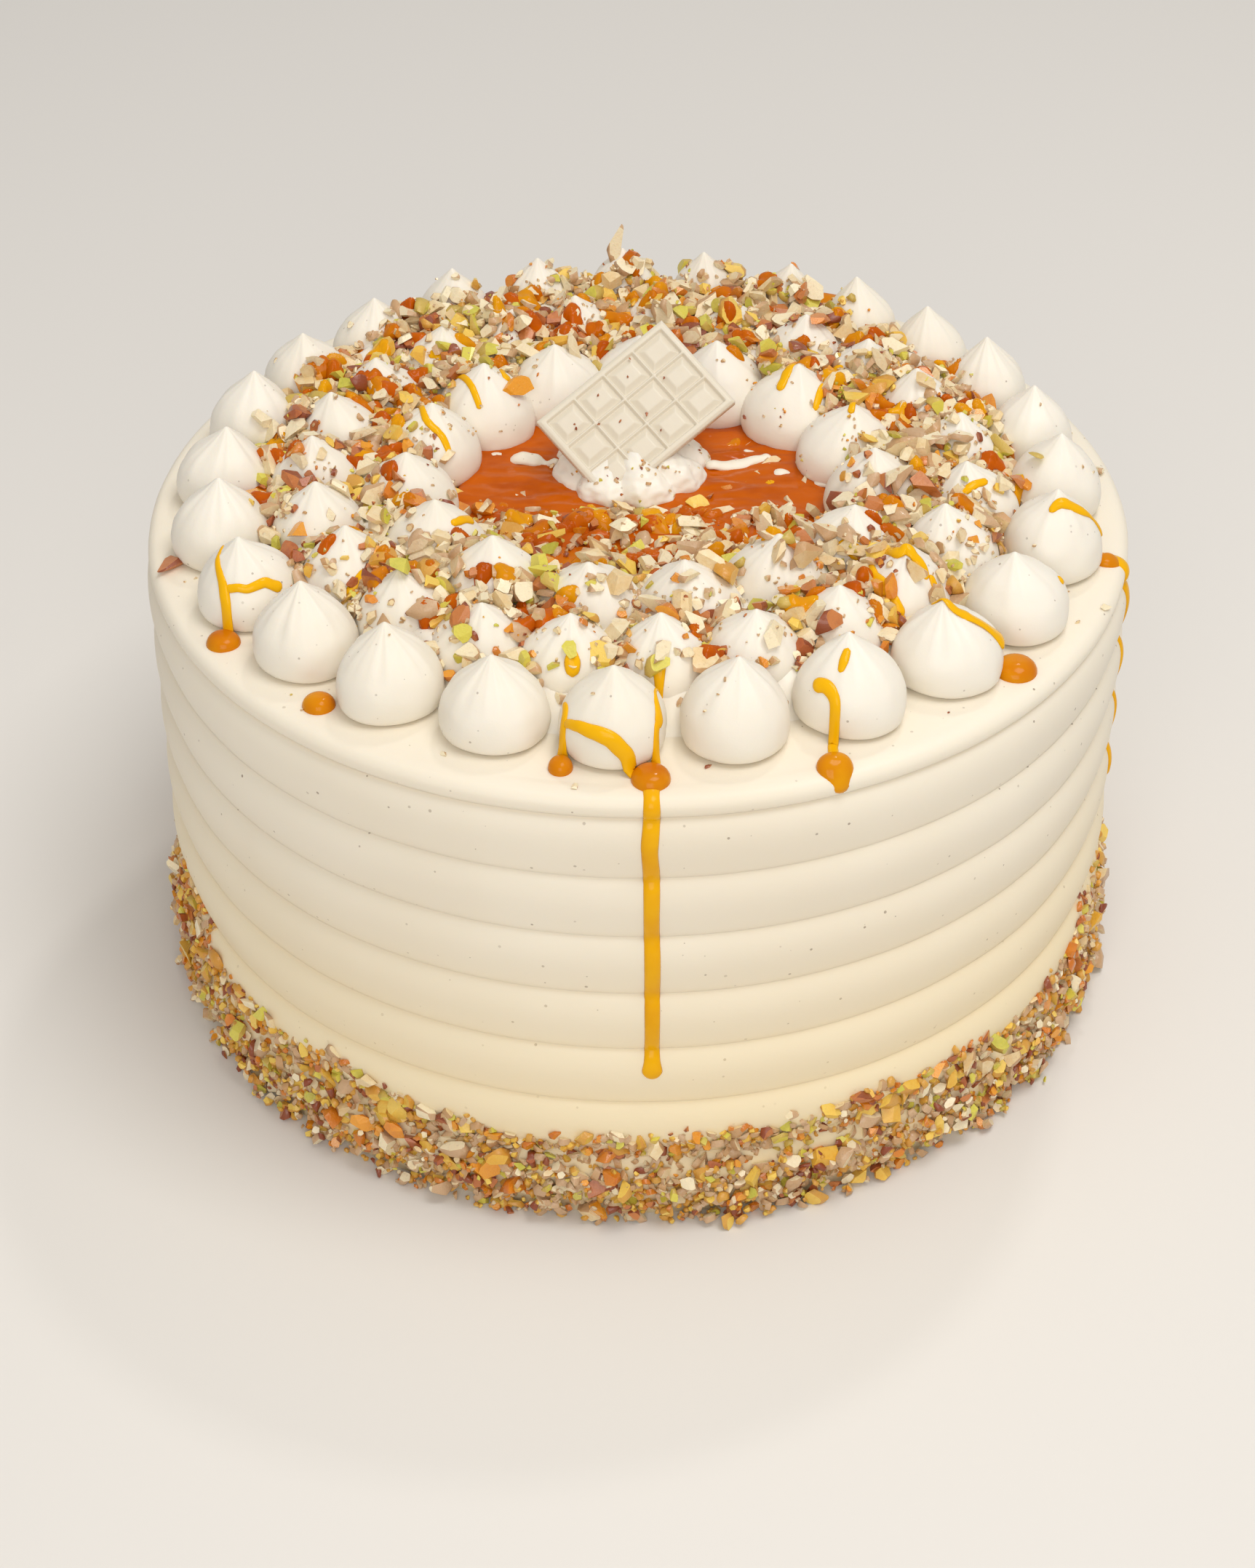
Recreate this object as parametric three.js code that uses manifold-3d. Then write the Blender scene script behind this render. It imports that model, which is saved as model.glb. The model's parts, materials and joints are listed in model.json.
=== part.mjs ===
import * as THREE from 'three';
import { mergeVertices } from 'three/addons/utils/BufferGeometryUtils.js';
import Module from 'manifold-3d';

// A round carrot cake in combed cream frosting, with piped dollops, a rosette that holds a
// chocolate plaque, caramel and chopped nuts. Millimetres, +Z up. The origin is the middle of
// the flat underside, -Y is the front and +X the right-hand side as seen from the front.

const wasm = await Module();
wasm.setup();

const gap = 0.3;                 // air left between two pieces that touch

// The drum: the frosted cake itself
const creaseRadius = 102;        // out to the crease between two ribs
const ribBulge = 2.1;            // how far a rib stands out past its creases
const ribPitch = 14.4;
const ribCount = 6;              // ribs that show above the band of nuts
const topCrease = 103.7;         // height of the uppermost crease
const cakeTop = 108.6;
const rimRadius = 103.2;
const drumSides = 42;

// The band of chopped nuts pressed round the foot
const band = { height: 22, ragged: 5, depth: 4.5, uneven: 1.6, sides: 42 };
const bandChunks = 32;

// Piped dollops
const dollopHeight = 17.4;
const dollopForm = [[0.88, 0], [1, 0.18], [0.86, 0.45], [0.43, 0.77], [0, 1]];
const outerRing = { count: 25, radius: 11.4, sides: 10, firstAzimuth: 166.5 };
const middleRing = { count: 23, radius: 8.6, sides: 9, firstAzimuth: 180, spacing: 20.4 };
const innerRing = { count: 15, radius: 10.6, sides: 9, firstAzimuth: 186, spacing: 19.7 };

// The rosette: the height of each lobe from the front one round by its right, and the crest that
// backs the plaque, measured from the rosette's middle
const rosette = {
  x: -2, y: 13, radius: 16.2, lobeDepth: 0.1, firstLobe: -73.6, lobes: [9.6, 8.4, 8, 9, 9, 8.5, 7.4, 7.6],
  crest: { y: 3, height: 6, spread: 7 },
};
const plaque = {
  x: -0.4, y: 14, z: 122.6, wide: 35, tall: 24, thick: 2.5, rim: 1.5, ridge: 0.5, sunk: 0.8, lean: 49, roll: 40.5,
  columns: 4, rows: 3, slope: 1.35,
};

// Caramel
const pool = { x: -1, y: 8, radius: 42, wave: 3, thick: 1.8, sides: 36 };
const rimDrops = [               // drops on the rim, from the front one round to the left
  { x: 2, y: -96.6, wide: 8.4, deep: 7.6 },
  { x: 36.9, y: -93.5, wide: 7, deep: 7.6 },
  { x: 74.2, y: -62, wide: 8.6, deep: 8.6 },
  { x: -61.9, y: -72.5, wide: 6.6, deep: 6.6 },
  { x: -82.8, y: -50.5, wide: 7.4, deep: 7 },
  { x: -15.5, y: -95, wide: 5, deep: 6 },
];
const dropHeight = 2.6;
const drips = [{ azimuth: 271.4, foot: 41.5 }, { azimuth: 349.5, foot: 50 }];
const dripRadius = 1.7;

// Chopped nuts, as half sizes
const nutShape = [1, 0.74, 0.56];
const smallNut = 2.1;
const largeNut = 3.9;
const nutsPerDollop = 2;
const innerNuts = 28;
const poolNuts = 9;

const cream = new THREE.MeshStandardMaterial({ color: 0xf3ead6, roughness: 0.55, metalness: 0 });
const pipedCream = new THREE.MeshStandardMaterial({ color: 0xf7f1e4, roughness: 0.5, metalness: 0 });
const chocolate = new THREE.MeshStandardMaterial({ color: 0xf2eada, roughness: 0.4, metalness: 0 });
const caramel = new THREE.MeshStandardMaterial({ color: 0xd9780f, roughness: 0.15, metalness: 0 });

// A repeatable stream of numbers from 0 to 1
function randomStream(seed) {
  let state = seed;
  return () => {
    state = (state + 0x6d2b79f5) | 0;
    let t = Math.imul(state ^ (state >>> 15), 1 | state);
    t = (t + Math.imul(t ^ (t >>> 7), 61 | t)) ^ t;
    return ((t ^ (t >>> 14)) >>> 0) / 4294967296;
  };
}

const radians = THREE.MathUtils.degToRad;

function polar(azimuth, radius) {
  return { x: radius * Math.cos(radians(azimuth)), y: radius * Math.sin(radians(azimuth)) };
}

// Only positions, with shared corners merged and the flat triangles at a lathe's poles dropped
function weld(geometry) {
  const bare = geometry.clone();
  bare.deleteAttribute('normal');
  bare.deleteAttribute('uv');
  const merged = mergeVertices(bare, 1e-4);
  const index = [];
  const old = merged.index.array;
  for (let i = 0; i < old.length; i += 3) {
    const [a, b, c] = [old[i], old[i + 1], old[i + 2]];
    if (a !== b && b !== c && c !== a) index.push(a, b, c);
  }
  merged.setIndex(index);
  return merged;
}

function toSolid(geometry) {
  const welded = weld(geometry);
  const vertProperties = new Float32Array(welded.attributes.position.array);
  const triVerts = new Uint32Array(welded.index.array);
  return new wasm.Manifold(new wasm.Mesh({ numProp: 3, vertProperties, triVerts }));
}

function toGeometry(solid) {
  const mesh = solid.getMesh();
  const geometry = new THREE.BufferGeometry();
  geometry.setAttribute('position', new THREE.BufferAttribute(new Float32Array(mesh.vertProperties), 3));
  geometry.setIndex(new THREE.BufferAttribute(new Uint32Array(mesh.triVerts), 1));
  geometry.computeVertexNormals();
  return geometry;
}

function joinAll(solids) {
  return solids.reduce((whole, solid) => whole.add(solid));
}

// Of a solid that a cut left in several bodies, the largest one
function largestBody(solid) {
  return solid.decompose().reduce((best, body) => (body.volume() > best.volume() ? body : best));
}

// A turned form with its axis along Z, from a profile of [radius, height] read upwards
function turned(profile, sides) {
  const points = profile.map(([radius, height]) => new THREE.Vector2(radius, height));
  return new THREE.LatheGeometry(points, sides).rotateX(Math.PI / 2);
}

function moveCorners(geometry, move) {
  const position = geometry.attributes.position;
  const corner = new THREE.Vector3();
  for (let i = 0; i < position.count; i++) {
    corner.fromBufferAttribute(position, i);
    move(corner);
    position.setXYZ(i, corner.x, corner.y, corner.z);
  }
  return geometry;
}

// Drum

// The rib's stand-out, t running from its upper crease (0) down to its lower one (1)
function ribRadius(t) {
  return creaseRadius + ribBulge * Math.sin(Math.PI * Math.pow(t, 0.7));
}

function drumRadiusAt(height) {
  if (height > topCrease) return rimRadius;
  const t = ((topCrease - height) / ribPitch) % 1;
  return ribRadius(t);
}

function drumProfile() {
  const foot = topCrease - ribCount * ribPitch;
  const profile = [[0, 0], [creaseRadius, 0]];
  for (let rib = 0; rib < ribCount; rib++) {
    const low = foot + rib * ribPitch;
    for (const t of [1, 0.6, 0.15]) profile.push([ribRadius(t), low + (1 - t) * ribPitch]);
  }
  profile.push([creaseRadius, topCrease]);
  profile.push([rimRadius, topCrease + 2], [rimRadius - 0.9, cakeTop - 1], [rimRadius - 3.2, cakeTop]);
  profile.push([0, cakeTop]);
  return profile;
}

// A lump of chopped nut: a block with its corners knocked about, turned at random
function nut(x, y, z, size, random) {
  const lump = weld(new THREE.BoxGeometry(1.5, 1.5, 1.5));
  moveCorners(lump, (corner) => {
    corner.x *= 0.55 + 0.6 * random();
    corner.y *= 0.55 + 0.6 * random();
    corner.z *= 0.7 + 0.5 * random();
  });
  lump.scale(size * nutShape[0], size * nutShape[1], size * nutShape[2]);
  const turn = new THREE.Euler(Math.PI * random(), Math.PI * random(), Math.PI * random());
  lump.applyQuaternion(new THREE.Quaternion().setFromEuler(turn));
  lump.translate(x, y, z);
  return toSolid(lump);
}

// The band of nuts: a rough collar with a ragged top, and larger lumps over it
function nutBand() {
  const random = randomStream(11);
  const { height, ragged, depth, uneven, sides } = band;
  const inside = creaseRadius - 4;
  const profile = [[inside, 0], [0.9, 0], [1, 0.3], [0.8, 0.65], [0.3, 1], [inside, 1]];
  const points = profile.map(([r, h]) => new THREE.Vector2(r, h));
  points.push(points[0].clone());
  const collar = weld(new THREE.LatheGeometry(points, sides).rotateX(Math.PI / 2));
  moveCorners(collar, (corner) => {
    const azimuth = Math.atan2(corner.y, corner.x);
    const top = height + ragged * (random() - 0.5) - 3 * Math.sin(azimuth);
    const reach = Math.hypot(corner.x, corner.y);
    const onOutside = reach < inside / 2;
    const wide = onOutside ? creaseRadius + depth * reach + uneven * (random() - 0.5) : inside;
    corner.set(wide * Math.cos(azimuth), wide * Math.sin(azimuth), corner.z * top);
  });
  const chunks = [toSolid(collar)];
  for (let i = 0; i < bandChunks; i++) {
    const azimuth = (360 * (i + 0.8 * random())) / bandChunks;
    const level = (i % 3) / 3 + random() / 3;
    const size = smallNut + (largeNut - smallNut) * random();
    const place = polar(azimuth, creaseRadius + depth * (1 - 0.7 * level * level) + 0.1 * size);
    chunks.push(nut(place.x, place.y, 1.3 * size + level * (height - 2), size * 1.15, random));
  }
  return joinAll(chunks);
}

function drop({ x, y, wide, deep }) {
  const ball = new THREE.SphereGeometry(1, 8, 4).rotateX(Math.PI / 2);
  ball.scale(wide / 2, deep / 2, dropHeight);
  return toSolid(ball.translate(x, y, cakeTop));
}

// A run of caramel down the side, following the ribs, with a round end
function drip({ azimuth, foot }) {
  const steps = 10;
  const start = polar(azimuth, rimRadius - 5);
  const route = [new THREE.Vector3(start.x, start.y, cakeTop - 0.4)];
  for (let i = 0; i <= steps; i++) {
    const height = cakeTop - 1.2 - ((cakeTop - 1.2 - foot) * i) / steps;
    const place = polar(azimuth, drumRadiusAt(height) - 0.1);
    route.push(new THREE.Vector3(place.x, place.y, height));
  }
  const section = new THREE.Shape();
  section.absarc(0, 0, dripRadius, 0, 2 * Math.PI, false);
  const run = new THREE.ExtrudeGeometry(section, {
    extrudePath: new THREE.CatmullRomCurve3(route), steps: steps + 2, curveSegments: 3, bevelEnabled: false,
  });
  const end = polar(azimuth, drumRadiusAt(foot));
  const bead = new THREE.SphereGeometry(dripRadius * 1.2, 6, 4).translate(end.x, end.y, foot);
  return toSolid(run).add(toSolid(bead));
}

// Dollops

function dollopSolid(place, grow = 0) {
  const { x, y, radius, height, sides, tipX, tipY } = place;
  const profile = dollopForm.map(([r, h]) => [r * radius + (r ? grow : 0), cakeTop + gap + h * height + h * grow]);
  if (grow) profile.unshift([0, cakeTop - 1], [profile[0][0], cakeTop - 1]);
  else profile.unshift([0, cakeTop + gap]);
  const form = turned(profile, sides);
  moveCorners(form, (corner) => {
    const rise = Math.max(0, corner.z - cakeTop) / height;
    corner.x += x + tipX * rise * rise;
    corner.y += y + tipY * rise * rise;
  });
  return toSolid(form);
}

// How far out along an azimuth a dollop can stand before it comes within spacing of a ring
function nestRadius(azimuth, ring, spacing) {
  let nearest = Infinity;
  for (const other of ring) {
    const across = Math.atan2(other.y, other.x) - radians(azimuth);
    const reach = Math.hypot(other.x, other.y);
    const aside = reach * Math.sin(across);
    if (Math.abs(aside) < spacing && Math.cos(across) > 0) {
      nearest = Math.min(nearest, reach * Math.cos(across) - Math.sqrt(spacing * spacing - aside * aside));
    }
  }
  return nearest;
}

function outerPlaces() {
  const { count, radius, sides, firstAzimuth } = outerRing;
  const random = randomStream(3);
  const places = [];
  for (let i = 0; i < count; i++) {
    const phase = (2 * Math.PI * (i - 12.8)) / count;
    const azimuth = firstAzimuth + (360 * i) / count + 4.6 * Math.cos(phase) + 1.2 * Math.cos(2 * phase);
    const turn = radians(azimuth);
    const reach = 85.6 + 2.2 * Math.cos(2 * turn) - 1.2 * Math.sin(turn);
    places.push({ ...polar(azimuth, reach), radius, sides, height: dollopHeight * (0.95 + 0.1 * random()),
      tipX: 1.6 * (random() - 0.5), tipY: 1.6 * (random() - 0.5) });
  }
  // Where the ring is crowded the dollops are narrower, so that neighbours stay clear
  const free = places.map((place, i) => {
    const next = places[(i + 1) % count];
    const last = places[(i + count - 1) % count];
    return Math.min(Math.hypot(next.x - place.x, next.y - place.y), Math.hypot(last.x - place.x, last.y - place.y));
  });
  places.forEach((place, i) => { place.radius = Math.min(radius, free[i] / 2 - gap); });
  return places;
}

function nestedPlaces(ring, outside, seed) {
  const random = randomStream(seed);
  const places = [];
  for (let i = 0; i < ring.count; i++) {
    const azimuth = ring.firstAzimuth + (360 * i) / ring.count;
    const reach = nestRadius(azimuth, outside, ring.spacing);
    places.push({ ...polar(azimuth, reach), radius: ring.radius, sides: ring.sides,
      height: dollopHeight * (0.92 + 0.1 * random()), tipX: 2 * (random() - 0.5), tipY: 2 * (random() - 0.5) });
  }
  return places;
}

const outer = outerPlaces();
const middle = nestedPlaces(middleRing, outer, 5);
const inner = nestedPlaces(innerRing, middle, 7);

// The dollop's width at a share of its height, read off its profile
function formRadius(share) {
  for (let i = 1; i < dollopForm.length; i++) {
    const [r0, h0] = dollopForm[i - 1];
    const [r1, h1] = dollopForm[i];
    if (share <= h1) return r0 + ((r1 - r0) * (share - h0)) / (h1 - h0);
  }
  return 0;
}

// True if a ball at a point keeps off every one of the dollops
function clearOf(dollops, point, ball) {
  return dollops.every((other) => {
    const share = THREE.MathUtils.clamp((point.z - ball * 0.5 - cakeTop) / other.height, 0, 1);
    const away = Math.hypot(point.x - other.x, point.y - other.y);
    return away - other.radius * formRadius(share) > ball + 2 * gap;
  });
}

const laidNuts = [];             // nuts already placed on the top, so that none meet

function clearOfNuts(point, ball, owner) {
  return laidNuts.every((other) => other.owner === owner
    || Math.hypot(point.x - other.x, point.y - other.y, point.z - other.z) > 1.15 * (ball + other.ball) + gap);
}

// Nuts stuck to one dollop, each on its skin and clear of everything round it
function nutsOn(place, owner, others, count, random, floor = gap) {
  const found = [];
  for (let attempt = 0; attempt < 14 * count && found.length < count; attempt++) {
    const share = 0.12 + 0.66 * random();
    const turn = 2 * Math.PI * random();
    const size = smallNut + (largeNut - smallNut) * random() * 0.8;
    const reach = place.radius * formRadius(share) + size * 0.35;
    const point = { x: place.x + reach * Math.cos(turn), y: place.y + reach * Math.sin(turn),
      z: cakeTop + Math.max(share * place.height + 0.2 * size, floor + 1.35 * size) };
    if (clearOf(others, point, size) && clearOfNuts(point, size, owner)) {
      laidNuts.push({ ...point, ball: size, owner });
      found.push(nut(point.x, point.y, point.z, size * 1.1, random));
    }
  }
  return found;
}

const grownOuter = outer.map((place) => dollopSolid(place, gap));
const grownInner = inner.map((place) => dollopSolid(place, gap));

function near(place, other, reach) {
  return Math.hypot(place.x - other.x, place.y - other.y) < reach;
}

function middleDollop(place, i) {
  let body = dollopSolid(place);
  outer.forEach((other, k) => { if (near(place, other, 20)) body = body.subtract(grownOuter[k]); });
  const others = [...outer, ...middle.filter((other) => other !== place), ...inner];
  const nuts = nutsOn(place, `middle${i}`, others, nutsPerDollop, randomStream(100 + i));
  return largestBody(joinAll([body, ...nuts]));
}

function innerDollops() {
  const ring = joinAll(inner.map((place) => dollopSolid(place)));
  const random = randomStream(40);
  const nuts = [];
  for (let i = 0; nuts.length < innerNuts && i < 4 * innerNuts; i++) {
    nuts.push(...nutsOn(inner[i % inner.length], 'inner', middle, 1, random, pool.thick + 2 * gap));
  }
  return largestBody(joinAll([ring, ...nuts]));
}

// A block up to just above the frosting, to trim what stands on it
function underside() {
  const side = 2 * creaseRadius;
  return toSolid(new THREE.BoxGeometry(side, side, side).translate(0, 0, cakeTop + gap - side / 2));
}

// Rosette and plaque

// How far round from the first lobe's middle a direction lies, counted in lobes
function lobesRound(turn) {
  const { lobes, firstLobe } = rosette;
  return (((turn - radians(firstLobe)) / (2 * Math.PI) + 2) % 1) * lobes.length;
}

// The rosette's height in one direction, easing from one lobe's own height to the next one's
function lobeHeight(turn) {
  const { lobes } = rosette;
  const along = lobesRound(turn);
  const k = Math.floor(along);
  const share = 0.5 - 0.5 * Math.cos(Math.PI * (along - k));
  return lobes[k % lobes.length] * (1 - share) + lobes[(k + 1) % lobes.length] * share;
}

// A ring of rounded lobes, with a crest in the middle
function rosetteBody(grow = 0) {
  const { x, y, radius, lobeDepth, lobes, crest } = rosette;
  const form = [[0, 0], [0.9, 0], [1, 0.25], [0.93, 0.55], [0.72, 0.84], [0.38, 0.97], [0, 1]];
  const even = lobes.reduce((sum, lobe) => sum + lobe) / lobes.length;
  const body = turned(form, 4 * lobes.length);
  moveCorners(body, (corner) => {
    const out = Math.hypot(corner.x, corner.y);
    const turn = Math.atan2(corner.y, corner.x);
    const reach = out * radius * (1 + lobeDepth * Math.cos(2 * Math.PI * lobesRound(turn))) + (out ? grow : 0);
    const [aside, along] = [reach * Math.cos(turn), reach * Math.sin(turn)];
    const hump = crest.height * Math.exp(-(aside ** 2 + (along - crest.y) ** 2) / crest.spread ** 2);
    const height = even + (lobeHeight(turn) - even) * Math.min(1, 2.5 * out) + hump;
    const sunk = grow && corner.z < 0.01 ? 1 : 0;
    corner.set(x + aside, y + along, cakeTop + gap + corner.z * (height + grow) - sunk);
  });
  return toSolid(body);
}

// From the plaque's own frame, with its face towards +Z, to where it leans in the rosette
function placePlaque(geometry) {
  geometry.rotateZ(radians(plaque.roll));
  geometry.rotateX(radians(90 - plaque.lean));
  return geometry.translate(plaque.x, plaque.y, plaque.z);
}

function slab(wide, tall, low, high, x = 0, y = 0) {
  return new THREE.BoxGeometry(wide, tall, high - low).translate(x, y, (low + high) / 2);
}

// A tile of the plaque's face, as wide as its cell at the foot and sloping in to a flat middle
function tile(x, y, wide, tall) {
  const { thick, sunk, slope } = plaque;
  const root = 0.2;
  return moveCorners(slab(wide, tall, thick - sunk - root, thick, x, y), (corner) => {
    if (corner.z < thick - sunk / 2) return;
    corner.x -= Math.sign(corner.x - x) * slope;
    corner.y -= Math.sign(corner.y - y) * slope;
  });
}

function plaqueBody() {
  const { wide, tall, thick, rim, ridge, sunk, columns, rows } = plaque;
  let body = toSolid(placePlaque(slab(wide, tall, 0, thick)));
  const pitchX = (wide - 2 * rim + ridge) / columns;
  const pitchY = (tall - 2 * rim + ridge) / rows;
  for (let i = 0; i < columns; i++) {
    for (let j = 0; j < rows; j++) {
      const x = (i + 0.5 - columns / 2) * pitchX;
      const y = (j + 0.5 - rows / 2) * pitchY;
      const pocket = slab(pitchX - ridge, pitchY - ridge, thick - sunk, thick + 1, x, y);
      body = body.subtract(toSolid(placePlaque(pocket)));
      body = body.add(toSolid(placePlaque(tile(x, y, pitchX - ridge, pitchY - ridge))));
    }
  }
  return largestBody(body.subtract(underside()));
}

function plaqueSlot() {
  const { wide, tall, thick } = plaque;
  return toSolid(placePlaque(slab(wide + 2 * gap, tall + 2 * gap, -gap, thick + gap)));
}

function rosetteWithSlot() {
  return largestBody(rosetteBody().subtract(plaqueSlot()));
}

// Caramel pool between the rosette and the inner dollops, with a few nuts in it
function caramelPool() {
  const random = randomStream(21);
  const { x, y, radius, wave, thick, sides } = pool;
  const bottom = cakeTop + gap;
  const disc = turned([[0, bottom], [radius, bottom], [radius - 1, bottom + thick], [0, bottom + thick]], sides);
  moveCorners(disc, (corner) => {
    const turn = Math.atan2(corner.y, corner.x);
    const swell = 1 + (wave / radius) * (Math.cos(3 * turn + 0.6) + 0.7 * Math.cos(5 * turn));
    corner.set(x + corner.x * swell, y + corner.y * swell, corner.z);
  });
  const parts = [toSolid(disc)];
  for (let i = 0; i < poolNuts; i++) {
    const size = smallNut + (largeNut - smallNut) * 0.6 * random();
    const azimuth = (360 * (i + random())) / poolNuts;
    const point = { ...polar(azimuth, 24 + 8 * random()), z: bottom + thick + 0.3 };
    point.x += rosette.x;
    point.y += rosette.y * 0.6;
    const nutClear = clearOf(inner, point, size) && clearOfNuts(point, size, 'pool');
    if (nutClear) parts.push(nut(point.x, point.y, point.z, size, random));
  }
  let body = joinAll(parts).subtract(rosetteBody(gap)).subtract(plaqueSlot()).subtract(underside());
  grownInner.forEach((other) => { body = body.subtract(other); });
  return largestBody(body);
}

function cakeBody() {
  const random = randomStream(31);
  let extras = joinAll([...rimDrops.map(drop), ...drips.map(drip)]);
  const strays = [{ azimuth: 193.7, reach: 98.5, size: 3.8 }, { azimuth: 7.8, reach: 100.4, size: 2.4 },
    { azimuth: 338, reach: 100.4, size: 1.8 }];
  for (const { azimuth, reach, size } of strays) {
    const place = polar(azimuth, reach);
    extras = extras.add(nut(place.x, place.y, cakeTop + size * 0.4, size, random));
  }
  grownOuter.forEach((other) => { extras = extras.subtract(other); });
  return largestBody(toSolid(turned(drumProfile(), drumSides)).add(nutBand()).add(extras));
}

const cake = new THREE.Group();

function addPiece(name, solid, material) {
  const mesh = new THREE.Mesh(toGeometry(solid), material);
  mesh.name = name;
  cake.add(mesh);
}

function numbered(name, i) {
  return `${name}_${String(i + 1).padStart(2, '0')}`;
}

addPiece('cake', cakeBody(), cream);
outer.forEach((place, i) => addPiece(numbered('dollop_outer', i), dollopSolid(place), pipedCream));
middle.forEach((place, i) => addPiece(numbered('dollop_middle', i), middleDollop(place, i), pipedCream));
addPiece('dollops_inner', innerDollops(), pipedCream);
addPiece('rosette', rosetteWithSlot(), pipedCream);
addPiece('plaque', plaqueBody(), chocolate);
addPiece('caramel_pool', caramelPool(), caramel);

export default cake;
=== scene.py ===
import json
import math

import bmesh
import bpy
import numpy as np
from mathutils import Matrix, Quaternion, Vector, noise
from mathutils.bvhtree import BVHTree

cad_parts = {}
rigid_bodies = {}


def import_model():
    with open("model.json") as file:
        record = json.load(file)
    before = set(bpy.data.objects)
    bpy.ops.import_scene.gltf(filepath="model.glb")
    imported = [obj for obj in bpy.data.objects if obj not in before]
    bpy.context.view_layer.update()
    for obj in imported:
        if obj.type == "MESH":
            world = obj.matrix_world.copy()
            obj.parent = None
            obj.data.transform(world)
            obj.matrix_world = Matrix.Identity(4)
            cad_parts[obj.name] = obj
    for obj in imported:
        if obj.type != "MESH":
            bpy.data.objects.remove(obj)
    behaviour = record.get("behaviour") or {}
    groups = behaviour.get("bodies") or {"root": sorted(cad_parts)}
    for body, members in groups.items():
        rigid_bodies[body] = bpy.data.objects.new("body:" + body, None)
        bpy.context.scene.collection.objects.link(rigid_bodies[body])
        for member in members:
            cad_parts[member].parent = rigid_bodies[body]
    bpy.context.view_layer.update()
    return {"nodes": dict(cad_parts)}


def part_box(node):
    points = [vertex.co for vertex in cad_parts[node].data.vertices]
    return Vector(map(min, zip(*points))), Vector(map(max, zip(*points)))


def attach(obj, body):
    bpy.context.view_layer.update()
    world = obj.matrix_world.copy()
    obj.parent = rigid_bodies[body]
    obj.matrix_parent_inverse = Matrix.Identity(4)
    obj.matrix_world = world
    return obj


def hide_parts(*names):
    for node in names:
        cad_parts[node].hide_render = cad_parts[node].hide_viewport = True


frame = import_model()
print("frame loaded:", len(frame["nodes"]), "nodes")

mm = 0.001
scene = bpy.context.scene
scene.view_settings.view_transform = "Standard"
scene.view_settings.look = "None"


# Camera

photoCamera = {
    "place": (-0.99, -561.06, 458.62),      # mm, from the middle of the cake's underside
    "forward": (-0.00204, 0.79781, -0.60290),
    "up": (0.00178, 0.60291, 0.79781),
    "focal": 4268.0,                        # in pixels of the photograph
    "frame": (1725, 2156),
}


def makeCamera(settings):
    forward = Vector(settings["forward"]).normalized()
    right = forward.cross(Vector(settings["up"])).normalized()
    up = right.cross(forward)
    data = bpy.data.cameras.new("photoCamera")
    data.sensor_fit = "AUTO"
    data.sensor_width = 36.0
    data.lens = settings["focal"] / max(settings["frame"]) * data.sensor_width
    data.clip_start, data.clip_end = 0.01, 20.0
    camera = bpy.data.objects.new("photoCamera", data)
    scene.collection.objects.link(camera)
    turn = Matrix((right, up, -forward)).transposed()
    camera.matrix_world = Matrix.Translation(Vector(settings["place"]) * mm) @ turn.to_4x4()
    scene.camera = camera


makeCamera(photoCamera)


# Small helpers

def smooth(low, high, value):
    t = np.clip((value - low) / (high - low), 0, 1)
    return t * t * (3 - 2 * t)


def curveThrough(knots, count):
    # a smooth run of count points through (x, y) knots, by Catmull-Rom
    pts = np.array(knots, float)
    pts = np.vstack([2 * pts[0] - pts[1], pts, 2 * pts[-1] - pts[-2]])
    spans = len(pts) - 3
    out = []
    for t in np.linspace(0, spans, count):
        i = min(int(t), spans - 1)
        u = t - i
        a, b, c, d = pts[i:i + 4]
        square = (2 * a - 5 * b + 4 * c - d) * u * u
        cube = (3 * b - a - 3 * c + d) * u ** 3
        out.append(0.5 * (2 * b + (c - a) * u + square + cube))
    return np.array(out)


def meshFrom(name, points, faces, material, smoothShade=True):
    # points in mm, faces as index lists
    mesh = bpy.data.meshes.new(name)
    mesh.from_pydata((np.asarray(points, float) * mm).tolist(), [], faces)
    mesh.validate()
    mesh.polygons.foreach_set("use_smooth", [smoothShade] * len(mesh.polygons))
    mesh.materials.append(material)
    obj = bpy.data.objects.new(name, mesh)
    scene.collection.objects.link(obj)
    return obj


def ringFaces(rows, columns):
    # quads between rows of a closed ring, each row one turn round
    faces = []
    for i in range(rows - 1):
        for j in range(columns):
            k = (j + 1) % columns
            a, b = i * columns, (i + 1) * columns
            faces.append((a + j, a + k, b + k, b + j))
    return faces


def closedTurning(grid):
    # rows of points from the lower pole to the upper one, closed by two centre points
    rows, columns = grid.shape[:2]
    points = np.vstack([grid.reshape(-1, 3), grid[0].mean(0), grid[-1].mean(0)])
    faces = ringFaces(rows, columns)
    low, high = rows * columns, rows * columns + 1
    last = (rows - 1) * columns
    for j in range(columns):
        k = (j + 1) % columns
        faces.append((low, k, j))
        faces.append((high, last + j, last + k))
    return points, faces


def finishPiece(obj, nodes=()):
    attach(obj, "root")
    if nodes:
        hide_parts(*nodes)


def bakeDown(obj):
    # makes the object a plain mesh of what its modifiers gave, and clears them
    graph = bpy.context.evaluated_depsgraph_get()
    mesh = bpy.data.meshes.new_from_object(obj.evaluated_get(graph))
    obj.modifiers.clear()
    old = obj.data
    obj.data = mesh
    bpy.data.meshes.remove(old)


def addModifierTree(obj, tree, values):
    modifier = obj.modifiers.new(tree.name, "NODES")
    modifier.node_group = tree
    for item in tree.interface.items_tree:
        if item.item_type == "SOCKET" and item.in_out == "INPUT" and item.name in values:
            modifier[item.identifier] = values[item.name]


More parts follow.
